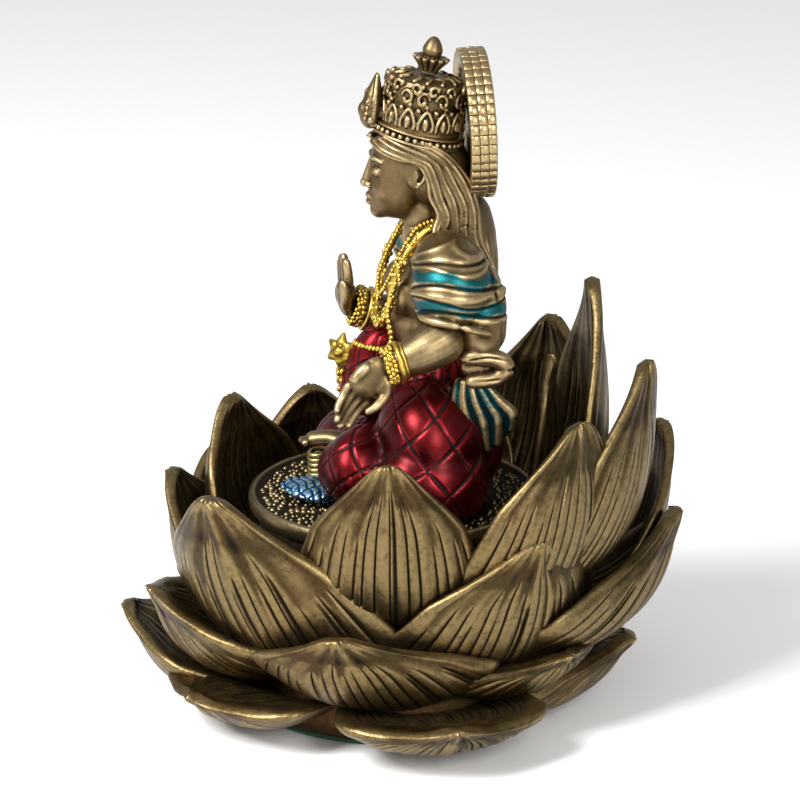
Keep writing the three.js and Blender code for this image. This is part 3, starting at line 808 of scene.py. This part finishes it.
mark_cavity(mesh, fine=(2, 0.035), broad=(12, 0.22))
piece(mesh, "long_hair", "antique_bronze", bronze, "hair")
print("hair points:", len(mesh.vertices))

# %% [markdown]
# Small hard pieces were turned or beaded rather than pressed. `turned` spins a profile, `moved` stands a
# mesh along any axis, `circle` spaces places round a ring, and `strand` sets low balls along a curve. A
# bead is only forty faces, because hundreds of them are used and none is wider than a millimetre and a
# half.

# %% Turned rings and beads
WIRE_SIDES = 20
NEARLY_BACK = np.array([0, 1, 0.1])  # a way to start a circle from, which no axis here lies along


def turned(profile, steps=96):
    """A profile of (radius, height) points swept a full turn. It starts and ends on the axis, or closes."""
    bm = bmesh.new()
    points = [bm.verts.new(Vector((radius, 0, height)) * MM) for radius, height in profile]
    edges = [bm.edges.new(pair) for pair in zip(points, points[1:])]
    bmesh.ops.spin(bm, geom=points + edges, axis=(0, 0, 1), cent=(0, 0, 0), steps=steps, angle=2 * math.pi,
                   use_merge=True)
    bmesh.ops.remove_doubles(bm, verts=bm.verts, dist=1e-6)
    bmesh.ops.recalc_face_normals(bm, faces=bm.faces)
    mesh = bpy.data.meshes.new("turned")
    bm.to_mesh(mesh)
    bm.free()
    return mesh


def moved(mesh, centre, axis=(0, 0, 1), up=(0, 1, 0)):
    """Turns the mesh's own z on to axis and its y towards up, then carries it to centre."""
    n = unit(np.array(axis, float))
    across = unit(np.cross(np.array(up, float), n))
    turn = np.array([across, np.cross(n, across), n])
    write_points(mesh, read_points(mesh) @ turn + np.array(centre, float))
    return mesh


def ring(centre, axis, radius, wire, steps=72):
    """A ring of round wire."""
    angles = np.linspace(0, 2 * math.pi, WIRE_SIDES)
    profile = [(radius + wire * math.cos(a), wire * math.sin(a)) for a in angles]
    return moved(turned(profile, steps), centre, axis, NEARLY_BACK)


def ball(centre, radius, around=10, along=7):
    return lump(centre, (radius,) * 3, around, along)


def bead(centre, radius):
    return ball(centre, radius, 8, 5)


def circle(centre, axis, radius, count, turn=0.0):
    """Evenly spaced places on a circle."""
    n = unit(np.array(axis, float))
    a = unit(np.cross(NEARLY_BACK, n))
    b = np.cross(n, a)
    angles = np.arange(count) * 2 * math.pi / count + turn
    return np.array(centre, float) + radius * (np.outer(np.cos(angles), a) + np.outer(np.sin(angles), b))


def strand(points, spacing, radius, wander=0.0):
    """Beads at even steps along a curve, each knocked a little out of line."""
    line = smooth_line(points, 400)
    arc = np.concatenate([[0], np.cumsum(np.linalg.norm(np.diff(line, axis=0), axis=1))])
    steps = np.arange(0, arc[-1], spacing)
    places = np.stack([np.interp(steps, arc, line[:, k]) for k in range(3)], axis=1)
    places = places + rng.uniform(-wander, wander, places.shape)
    return [bead(place, radius * rng.uniform(0.85, 1.15)) for place in places]


gold = aged_metal("gold_paint", body=(0.22, 0.135, 0.018), rubbed=(0.66, 0.46, 0.09),
                  stain=(0.02, 0.01, 0.003), warm=(0.17, 0.10, 0.014), gloss=0.4).material

# %% [markdown]
# The crown is built upright at the origin and then laid back ten degrees on to the head with `on_head`. Its
# foot is a dark channel that carries a row of round beads. Each bead is a separate ball pressed into the
# channel, as on the real casting, and their tops catch the rub.

# %% The crown's beaded band
CROWN_FOOT = (5.3, 132.4)  # how far back and how high the crown stands
CROWN_LEAN = 10  # degrees, backwards
BAND_LEAN = 14  # the band sits lower still at the back


def on_head(mesh, degrees=CROWN_LEAN):
    lean = math.radians(-degrees)
    x, y, z = read_points(mesh).T
    back = y * math.cos(lean) - z * math.sin(lean) + CROWN_FOOT[0]
    height = y * math.sin(lean) + z * math.cos(lean) + CROWN_FOOT[1]
    write_points(mesh, np.stack([x, back, height], axis=1))
    return mesh


rail = [(7.6, -0.9), (9.9, -1.1), (10.3, -0.95), (10.3, -0.65), (9.6, -0.4), (9.5, 0.8), (10.1, 1.0),
        (10.2, 1.3), (9.8, 1.45), (7.6, 1.4), (7.6, -0.9)]
mesh = turned(rail, 120)
row = [bead(place, 0.62) for place in circle((0, 0, 0.15), (0, 0, 1), 9.95, 36)]
mesh = on_head(joined([mesh] + row), BAND_LEAN)
mark_cavity(mesh, extra=0.15)
piece(mesh, "crown_beaded_band", "antique_bronze", bronze, "crown_band")

# %% [markdown]
# The cap is a drum in two steps. The lower step is a row of arched panels with a drop-shaped stone in each,
# and the upper step is scrollwork. The arches and scrolls are tubes bent round the drum in its own angle
# and height; pressing them into the drum as clay gives the soft joins of a casting.

# %% The crown's cap
def on_drum(radius, degrees, height):
    a = math.radians(degrees)
    return (radius * math.sin(a), -radius * math.cos(a), height)


parts = [turned([(0, 0.9), (9.0, 0.9), (9.3, 1.6), (9.1, 6.2), (8.2, 6.9), (8.3, 7.6), (8.8, 10.6),
                 (8.2, 12.4), (5.6, 13.3), (0, 13.5)], 64)]
for k in range(14):
    a = (k + 0.5) * 360 / 14
    arch = [on_drum(9.3, a - 9.6, 2.4), on_drum(9.5, a - 9.2, 4.6), on_drum(9.3, a, 6.9),
            on_drum(9.5, a + 9.2, 4.6), on_drum(9.3, a + 9.6, 2.4)]
    parts.append(tube(arch, [0.36, 0.42, 0.36], 10, 34))
    parts.append(lump(on_drum(9.25, a, 4.1), (0.8, 0.8, 1.45), 16, 12))
    parts.append(tube([on_drum(9.6, a, 2.6), on_drum(9.75, a, 4.0), on_drum(9.6, a, 5.4)],
                      [0.3, 0.36, 0.2], 8, 12))
    parts.append(ball(on_drum(9.0, a + 12.9, 6.9), 0.62, 12, 8))
for k in range(13):
    a = k * 360 / 13 + rng.uniform(-3, 3)
    hand_of = 1 if k % 2 else -1
    for start, size, level in ((0, 2.0, 9.3), (13, 1.5, 11.4)):
        scroll = []
        for i, t in enumerate(np.linspace(0, 6.6, 10)):
            curl = size * (1 - t / 8.5)
            scroll.append(on_drum(8.9 + 0.05 * i, a + start + hand_of * 5.2 * curl * math.cos(t),
                                  level + curl * math.sin(t)))
        parts.append(tube(scroll, [0.34, 0.46, 0.5, 0.42], 10, 44))
    parts.append(ball(on_drum(9.2, a + 7, 8.0), 0.55, 12, 8))
    parts.append(ball(on_drum(8.7, a + 20, 12.3), 0.7, 12, 8))
    parts.append(tube([on_drum(7.6, a, 12.8), on_drum(5.8, a + 9, 13.5), on_drum(4.2, a - 4, 13.5)],
                      [0.4, 0.5, 0.3], 10, 16))
mesh = on_head(clay(parts, 0.21, 1))
mark_cavity(mesh, fine=(2, 0.035), broad=(12, 0.2))
piece(mesh, "crown_openwork_cap", "antique_bronze", bronze, "crown_cap")
print("crown cap points:", len(mesh.vertices))

# %% [markdown]
# At the front of the crown stands a drop-shaped plaque with a round stone low on its face, edged by a rope
# of small beads. On top is a bud in a fluted cup.

# %% The front jewel and the finial
parts = [
    tube([(0, -10.8, -0.6), (0, -11.2, 3.2), (0, -11.2, 7.4), (0, -11.2, 12.2)],
         [2.2, 3.1, 2.3, 0.5], 28, 30, flat=0.85, up=(0, 1, 0)),
    lump((0, -12.9, 3.6), (1.9, 1.3, 1.9), 24, 16),
    lump((0, -12.6, 7.4), (0.9, 0.8, 1.2), 16, 12),
]
for k in range(13):
    a = math.radians(k * 360 / 13)
    parts.append(ball((2.7 * math.sin(a), -12.5, 3.6 - 2.7 * math.cos(a)), 0.52))
for side in (1, -1):
    parts.append(tube(mirror(side,
                             [(2.6, -10.6, 0.4), (3.5, -11.0, 4.4), (2.5, -11.2, 8.4), (0.3, -11.2, 12.2)]),
                      [0.6, 0.75, 0.4], 10, 24))
    parts.append(lump((side * 3.1, -11.2, 2.0), (0.8, 0.9, 0.9), 14, 10))
    parts.append(lump((side * 3.0, -11.3, 6.6), (0.7, 0.8, 1.0), 14, 10))
mesh = on_head(clay(parts, 0.2, 1))
mark_cavity(mesh, fine=(2, 0.035), broad=(12, 0.2))
piece(mesh, "crown_front_plaque", "antique_bronze", bronze, "crown_front_jewel")

cup_and_bud = smooth_line([(0, 13.9), (1.9, 13.95), (2.1, 14.5), (2.6, 15.6), (3.9, 17.3), (3.3, 17.7),
                           (2.0, 17.5), (2.2, 18.6), (2.2, 19.5), (1.6, 20.9), (0.8, 21.9), (0, 22.2)], 60)
cup_and_bud[0, 0] = cup_and_bud[-1, 0] = 0
mesh = turned(np.maximum(cup_and_bud, 0), 96)
points = read_points(mesh)
angle = np.arctan2(points[:, 1], points[:, 0])
in_cup = 1 - smooth_step(17.4, 17.9, points[:, 2])
flute = 0.1 * np.cos(angle * 12) * in_cup * smooth_step(14.2, 15.2, points[:, 2])
points[:, :2] *= (1 + flute)[:, None]
write_points(mesh, points)
mark_cavity(on_head(mesh), extra=-6 * flute)
piece(mesh, "crown_bud_finial", "antique_bronze", bronze, "crown_finial")

# %% [markdown]
# The halo is a thick wheel behind the head. Its rim is laid with three columns of little blocks, like
# bricks, which are bevelled cubes set round the edge. Rays are cut into the front and the back face between
# the hub and a raised border.

# %% The halo
HALO_CENTRE = np.array([0, 18.2, 134.5])
HALO_LEAN = math.radians(3)
RAYS = 32
HALO_AXIS = (0, -math.cos(HALO_LEAN), -math.sin(HALO_LEAN))
DISH = np.linspace(3, 13.2, 18)  # rings of points for the rays to be cut from
border = [(13.8, -2.8), (15.6, -2.95), (16.1, -2.7), (16.1, 2.7), (15.6, 2.95), (13.8, 2.8), (13.2, 1.7)]
back_face = [(0, -1.9)] + [(r, -1.7) for r in DISH]
front_face = [(r, 1.7) for r in DISH[::-1]] + [(0, 1.9)]
mesh = turned(back_face + border + front_face, 192)
points = read_points(mesh)
radius, angle = np.hypot(points[:, 0], points[:, 1]), np.arctan2(points[:, 1], points[:, 0])
in_dish = smooth_step(2.8, 4.5, radius) * (1 - smooth_step(12.6, 13.2, radius))
rays = (0.5 + 0.5 * np.cos(angle * RAYS)) ** 2 * in_dish
points[:, 2] -= 0.55 * rays * np.sign(points[:, 2])
write_points(mesh, points)
mark_cavity(mesh, extra=0.6 * rays)
wheel = [mesh]


def block(size, bevel):
    bm = bmesh.new()
    bmesh.ops.create_cube(bm, size=1)
    bmesh.ops.scale(bm, vec=Vector(size) * MM, verts=bm.verts)
    bmesh.ops.bevel(bm, geom=bm.edges, offset=bevel * MM, segments=1, affect="EDGES", profile=0.5,
                    material=-1)
    mesh = bpy.data.meshes.new("block")
    bm.to_mesh(mesh)
    bm.free()
    return mesh


BLOCK_ROWS = 46
for row in range(BLOCK_ROWS):
    turn = 2 * math.pi * row / BLOCK_ROWS
    outward = (math.cos(turn), math.sin(turn), 0)
    for column in (-1, 0, 1):
        lift = rng.uniform(-0.12, 0.12)
        brick = block((1.9, rng.uniform(2.08, 2.2), 1.6), 0.16)
        offset = rng.uniform(-0.1, 0.1)
        centre = np.array(outward) * (15.95 + lift) + np.array([0, 0, column * 1.93 + offset * 0.4])
        wheel.append(moved(brick, centre, outward, (-math.sin(turn), math.cos(turn), 0)))
mesh = moved(joined(wheel), HALO_CENTRE, HALO_AXIS, (0, 0, 1))
mark_cavity(mesh, extra=0.05, fine=(1, 0.1))
piece(mesh, "halo_wheel", "antique_bronze", bronze, "halo_disc")
print("halo points:", len(mesh.vertices))

# %% [markdown]
# The jewellery is painted gold over the same casting. The garland is a rope of clustered grains round the
# neck, with a finer strand beside it; the girdle chain hangs in a swag below; each wrist has a plain bangle
# and a ring of beads.

# %% Necklaces, bangles and the flower
garland = both_sides([(7.4, 9.5, 113.6), (8.8, 5.6, 111.6), (9.4, 1.9, 107.2), (9.6, -1.0, 101),
                      (9.2, -1.9, 95.2),
                     (6.4, -3.2, 91.0), (0, -3.9, 89.0)])
parts = [tube(garland, [0.85, 0.85], 10, 120)]
for _ in range(4):
    parts += strand(garland, 1.0, 0.58, 0.8)
inner = both_sides([(6.2, 9.0, 114), (6.8, 4.6, 112.4), (6.8, 1.4, 107.8), (6.8, -1.6, 101.4),
                    (4.4, -3.2, 97.2),
                   (0, -3.4, 95.4)])
parts += strand(inner, 1.0, 0.55, 0.1)
mesh = joined(parts)
mark_cavity(mesh, extra=0.1)
piece(mesh, "grain_garland", "gold_paint", gold, "flower_garland")

swag = both_sides([(9.4, -2.6, 95.4), (10.4, -2.2, 91), (10.4, -1.6, 87.4), (8.4, -3.0, 84.8),
                   (4.4, -6.2, 84), (0, -8.8, 84)])
mesh = joined([tube(swag, [0.42], 8, 90)] + strand(swag, 1.25, 0.72, 0.12))
mark_cavity(mesh, extra=0.1)
piece(mesh, "girdle_chain", "gold_paint", gold, "lower_chain")

flower_centre, flower_axis = np.array([-3.4, -11.4, 81]), unit(np.array([0.78, -0.6, 0.18]))
flower_right = unit(np.cross((0, 0, 1), flower_axis))
flower_up = np.cross(flower_axis, flower_right)
parts = [ball(flower_centre + flower_axis * 1.2, 1.3, 16, 12)]
for k in range(6):
    a = math.radians(60 * k + 30)
    away = math.cos(a) * flower_right + math.sin(a) * flower_up
    leaf = [flower_centre + flower_axis * 0.8, flower_centre + flower_axis * 0.7 + away * 2.1,
            flower_centre + away * 4.4]
    parts.append(tube(leaf, [0.9, 1.5, 0.35], 14, 18, flat=0.62, up=flower_axis))
for _ in range(26):
    grain = (-3.4 + rng.uniform(-2.0, 2.6), -11.4 + rng.uniform(-1.2, 1.2), 74.6 + rng.uniform(-2.2, 2.6))
    parts.append(ball(grain, 0.75))
parts.append(lump((-3.4, -10.2, 77.0), (2.6, 1.6, 4.6)))
mesh = clay(parts, 0.24, 1)
mark_cavity(mesh, fine=(2, 0.04), broad=(10, 0.25))
piece(mesh, "lap_flower_brooch", "gold_paint", gold, "lap_flower")

for side, centre, axis, radius in (("left", (23.4, -1.2, 86.4), (0.05, -0.96, -0.25), 4.3),
                                   ("right", (-17.1, -4.6, 86.8), (0.05, -0.95, 0.3), 4.7)):
    centre, axis = np.array(centre), unit(np.array(axis))
    mesh = joined([ring(centre, axis, radius, 0.6), ring(centre - axis * 0.95, axis, radius - 0.25, 0.35)])
    mark_cavity(mesh)
    piece(mesh, side + "_wrist_bangle", "gold_paint", gold, side + "_bangle")
    middle = centre + axis * 2.2
    parts = [ring(middle, axis, radius - 0.9, 0.5)]
    for row in (-0.75, 0.0, 0.75):
        parts += [bead(place + rng.uniform(-0.2, 0.2, 3), 0.62)
                  for place in circle(middle + axis * row, axis, radius - 0.45, 22, turn=row)]
    mesh = joined(parts)
    mark_cavity(mesh, extra=0.1)
    piece(mesh, side + "_wrist_beads", "gold_paint", gold, side + "_bead_bracelet")

# %% [markdown]
# Behind each elbow the shawl is tied in a rolled loop, and its end falls from the loop in fanned pleats.
# The pleats are tubes side by side that open like a fan; they are bronze on the ridges and teal in the
# valleys, so the glaze follows the cavity of the mesh.

# %% The shawl's loops and pleated tails
for side, sign in (("left", 1), ("right", -1)):
    loop = mirror(sign, [(21.6, 12.5, 86.2), (22.4, 16.5, 86.8), (22.2, 20.8, 86.0), (22, 22.7, 83.8),
                         (22.2, 20.6, 81.6), (22, 16.6, 81.0), (21.5, 13.5, 80.6)])
    parts = [tube(loop, [1.6, 2.0, 2.1, 1.9, 1.9, 1.6], 20, 60),
             tube([(p[0] - sign * 1.6, p[1] - 0.9, p[2] - 0.6) for p in loop[1:]],
                  [1.2, 1.5, 1.4, 1.0], 16, 50),
             tube(mirror(sign, [(19, 13, 84), (19.5, 17, 83.4), (20, 20.5, 83.4)]), [3.0, 2.6, 1.6], 20, 20)]
    mesh = clay(parts, 0.3, 2)
    press(mesh, [(mirror(sign, [(24, 13, 86), (24.2, 18, 87), (23.6, 23, 86)]), 0.35, -0.35),
                 (mirror(sign, [(24, 14, 81.5), (24.2, 18, 81.6), (23.6, 22, 82)]), 0.35, -0.35)])
    mark_cavity(mesh)
    piece(mesh, side + "_shawl_loop", "antique_bronze", bronze, side + "_shawl_fold")
    backing = mirror(sign, [(20.4, 15.0, 82), (21, 17.0, 74), (20.6, 18.6, 67.5)])
    parts = [tube(backing, [3.2, 5.6, 4.6], 28, 24, flat=0.3, up=(1, 0, 0))]
    for k in range(8):
        f = k / 7
        out = 0.9 * (k % 2)
        ruffle = 0.9 * math.sin(k * 2.1)
        pleat = mirror(sign, [
            (20.4 + out, 12.6 + 4.6 * f, 81.6 - 0.8 * f),
            (21.4 + out, 11.6 + 9.6 * f, 76.4 - 0.2 * f),
            (21.8 + out, 12.6 + 11.4 * f, 70.4 + 2.4 * f + ruffle * 0.4),
            (20.8 + out, 15.2 + 8.2 * f + ruffle * 0.4, 63.4 + 5.0 * f * f + ruffle * 0.6)])
        parts.append(tube(pleat, [0.9, 1.3, 1.6, 1.1], 14, 40))
    mesh = clay(parts, 0.27, 2)
    mark_cavity(mesh, fine=(2, 0.05), broad=(10, 0.22))
    values = np.empty(len(mesh.vertices))
    mesh.attributes["cavity"].data.foreach_get("value", values)
    store(mesh, "band", values * 1.4 + 0.3)
    piece(mesh, side + "_pleated_tail", "teal_paint", deep_teal, side + "_shawl_tail")

# %% [markdown]
# Below the knees the near foot rests forward over a stack of anklets, and the skirt's hem spreads on the
# seat as a slab of blue cloth with cut scales. The scales are two families of fine grooves.

# %% The foot, the anklets and the blue hem
parts = [tube([(3.5, -10.5, 61.2), (1.2, -14.5, 62.0), (0, -18.2, 61.6), (-0.4, -20.4, 61.0)],
              [2.6, 2.4, 2.2, 1.8], 22, 28,
              flat=0.72)]
for k in range(5):
    parts.append(tube([(-1.9 + 0.9 * k, -19.6, 61.0 + 0.12 * k),
                       (-2.1 + 0.95 * k, -21.9 + 0.22 * abs(k - 1), 60.6)],
                      [0.62, 0.66 + 0.14 * (k == 4)], 12, 14))
mesh = clay(parts, 0.22, 3)
mark_cavity(mesh, fine=(3, 0.04))
piece(mesh, "resting_foot", "antique_bronze", bronze, "front_foot")

parts = [tube([(0, -17.4, 53.0), (0, -17.4, 58.4)], [1.5, 1.5], 16, 16, up=(0, 1, 0))]
for k in range(5):
    parts.append(ring((0, -17.4, 53.4 + 1.18 * k), (0.05, -0.12, 1), 2.0 + 0.1 * (k % 2), 0.52, steps=48))
mesh = joined(parts)
mark_cavity(mesh, extra=0.15)
old_gold = aged_metal("old_gold", body=(0.16, 0.11, 0.035), rubbed=(0.5, 0.38, 0.15), gloss=0.42).material
piece(mesh, "anklet_stack", "gold_paint", old_gold, "anklet_coils")

mesh = clay([tube([(9.5, -14.5, 50.1), (3.5, -19.8, 50.4), (-4, -24, 50.1)], [5.0, 5.4, 3.4], 32, 30,
                  flat=0.36),
             tube([(9.5, -13.5, 50.6), (4.5, -16, 51.2), (-1, -18, 50.8)], [2.6, 3.0, 2.0], 24, 24, flat=0.5),
             tube([(-3, -18, 49.8), (-7.5, -17, 49.7)], [3.4, 2.4], 24, 16, flat=0.36)], 0.26, 3)
x, y, z = read_points(mesh).T
cut = np.zeros(len(x))
for turn, pitch in ((0.4, 2.3), (1.75, 2.0)):
    across = x * math.cos(turn) + y * math.sin(turn) + 0.3 * np.sin(x * 0.9 + y * 0.5)
    gap = np.abs((across / pitch) % 1 - 0.5) * pitch
    cut = np.maximum(cut, np.exp(-((gap / 0.28) ** 2)))
shifted(mesh, -0.42 * cut)
mark_cavity(mesh, extra=0.7 * cut)
blue = aged_metal("blue_paint", body=(0.07, 0.26, 0.50), rubbed=(0.45, 0.74, 0.95), stain=(0.004, 0.02, 0.06),
                  warm=(0.02, 0.20, 0.42), gloss=0.34).material
piece(mesh, "scaled_blue_hem", "blue_paint", blue, "sari_hem")

# %% [markdown]
# The figure sits on the lotus's seed pod: a shallow dark dish with a rounded rim, its face covered in seed
# beads that stop short of the figure's lap. The core below it is a plain turned stem which the petals hide,
# and the foot is closed by a disc of green felt that keeps the casting from scratching a table.

# %% The seed pod, the core and the felt pad
ROUND_STEPS = 128
SEAT_FACE = 47.75  # height of the dish that the seed beads are set in
seat_profile = [(0, 43.85), (29.5, 43.85), (32.3, 44.4), (33.1, 45.6), (33.4, 47.2), (33.2, 48.3),
                (32.6, 48.8),
                (31.9, 48.6), (31.5, 48.1), (31.0, 47.9), (28, 47.75), (20, 47.7), (10, 47.7), (0, 47.7)]
parts = [turned(seat_profile, ROUND_STEPS)]
for row, radius in enumerate(np.arange(2.0, 30.4, 1.55)):
    count = int(2 * math.pi * radius / 1.8)
    for place in circle((0, 0, SEAT_FACE), (0, 0, 1), radius, count, turn=row * 0.7):
        spot = place + np.append(rng.uniform(-0.62, 0.62, 2), rng.uniform(-0.25, 0.05))
        hidden = (spot[0] / 27) ** 2 + ((spot[1] - 4) / 19) ** 2 < 1
        if not hidden and rng.random() < 0.93:
            parts.append(bead(spot, rng.uniform(0.4, 0.85)))
mesh = joined(parts)
print("seed beads:", len(parts) - 1)
mark_cavity(mesh, extra=0.1, fine=(1, 0.1))
pod = aged_metal("seed_pod_bronze", body=(0.07, 0.05, 0.026), rubbed=(0.30, 0.23, 0.12),
                 warm=(0.06, 0.035, 0.02), gloss=0.46, coarse=2.0).material
piece(mesh, "seed_pod", "seed_pod_bronze", pod, "seed_pod_seat")

stem = [(0, 1.55), (36.4, 1.55), (36.9, 2.4), (36.4, 8), (33.6, 18), (32.2, 28), (31.2, 38), (30.6, 42.8),
        (30.0, 43.4), (0, 43.4)]
mesh = turned([stem[0], *smooth_line(stem[1:-1], 40), stem[-1]], ROUND_STEPS)
# The extra pushes the whole core into the darkest stain: this is painted shade, for the shadow it stands in
# under the petals.
mark_cavity(mesh, extra=1.3)
piece(mesh, "lotus_stem_core", "antique_bronze", dark_bronze, "lotus_core")

mesh = turned([(0, 0), (35.4, 0), (35.9, 0.3), (36.0, 0.6), (35.9, 0.95), (35.4, 1.2), (0, 1.2)], ROUND_STEPS)
mark_cavity(mesh)
felt = Finish("green_felt")
nap = felt.noise(1500.0, 4.0, 0.7)
felt.set(Base_Color=felt.mix(nap, (0.012, 0.05, 0.026), (0.03, 0.11, 0.055)), Roughness=0.96 - nap * 0.04)
felt.bump(nap + felt.noise(420.0, 2.0), 0.00025, 0.7)
piece(mesh, "felt_foot", "felt", felt.material, "felt_pad")

# %% [markdown]
# The figurine stands on a plain, level, pale floor. Two soft lamps, a large one in front and a smaller one
# beside it, give the long highlights that satin metal needs, and a pale world fills in. The camera looks a
# little down on her left side, from nine tenths of a metre through a long lens.

# %% Stage, light and camera
AIM = Vector((0, 0, 0.07))  # the middle of the figurine, in metres


def soft_light(name, place, size, power):
    light = bpy.data.lights.new(name, "AREA")
    light.shape = "RECTANGLE"
    light.size, light.size_y = size
    light.energy = power
    lamp = bpy.data.objects.new(name, light)
    bpy.context.scene.collection.objects.link(lamp)
    lamp.location = Vector(place)
    lamp.rotation_euler = (AIM - lamp.location).to_track_quat("-Z", "Y").to_euler()


soft_light("key", (0.35, -0.55, 0.65), (0.35, 0.35), 14)
soft_light("side", (0.9, 0.25, 0.5), (0.3, 0.5), 7)

bm = bmesh.new()
bmesh.ops.create_grid(bm, x_segments=1, y_segments=1, size=3)
floor_mesh = bpy.data.meshes.new("floor")
bm.to_mesh(floor_mesh)
bm.free()
floor = bpy.data.objects.new("floor", floor_mesh)
bpy.context.scene.collection.objects.link(floor)
paper = Finish("paper")
paper.set(Base_Color=(0.9, 0.9, 0.9), Roughness=0.9)
floor_mesh.materials.append(paper.material)

world = bpy.data.worlds.new("studio")
world.use_nodes = True
background = world.node_tree.nodes["Background"]
background.inputs["Color"].default_value = (1, 1, 1, 1)
background.inputs["Strength"].default_value = 0.55
bpy.context.scene.world = world
bpy.context.scene.view_settings.view_transform = "Standard"

AZIMUTH, ELEVATION, DISTANCE = math.radians(84), math.radians(18), 0.9
toward = Vector((math.sin(AZIMUTH) * math.cos(ELEVATION), -math.cos(AZIMUTH) * math.cos(ELEVATION),
                 math.sin(ELEVATION)))
camera_data = bpy.data.cameras.new("camera")
camera_data.sensor_width = 36
camera_data.lens = 178
camera_data.shift_x = 0.0075
camera = bpy.data.objects.new("camera", camera_data)
bpy.context.scene.collection.objects.link(camera)
camera.location = AIM + toward * DISTANCE
camera.rotation_euler = (-toward).to_track_quat("-Z", "Y").to_euler()
bpy.context.scene.camera = camera
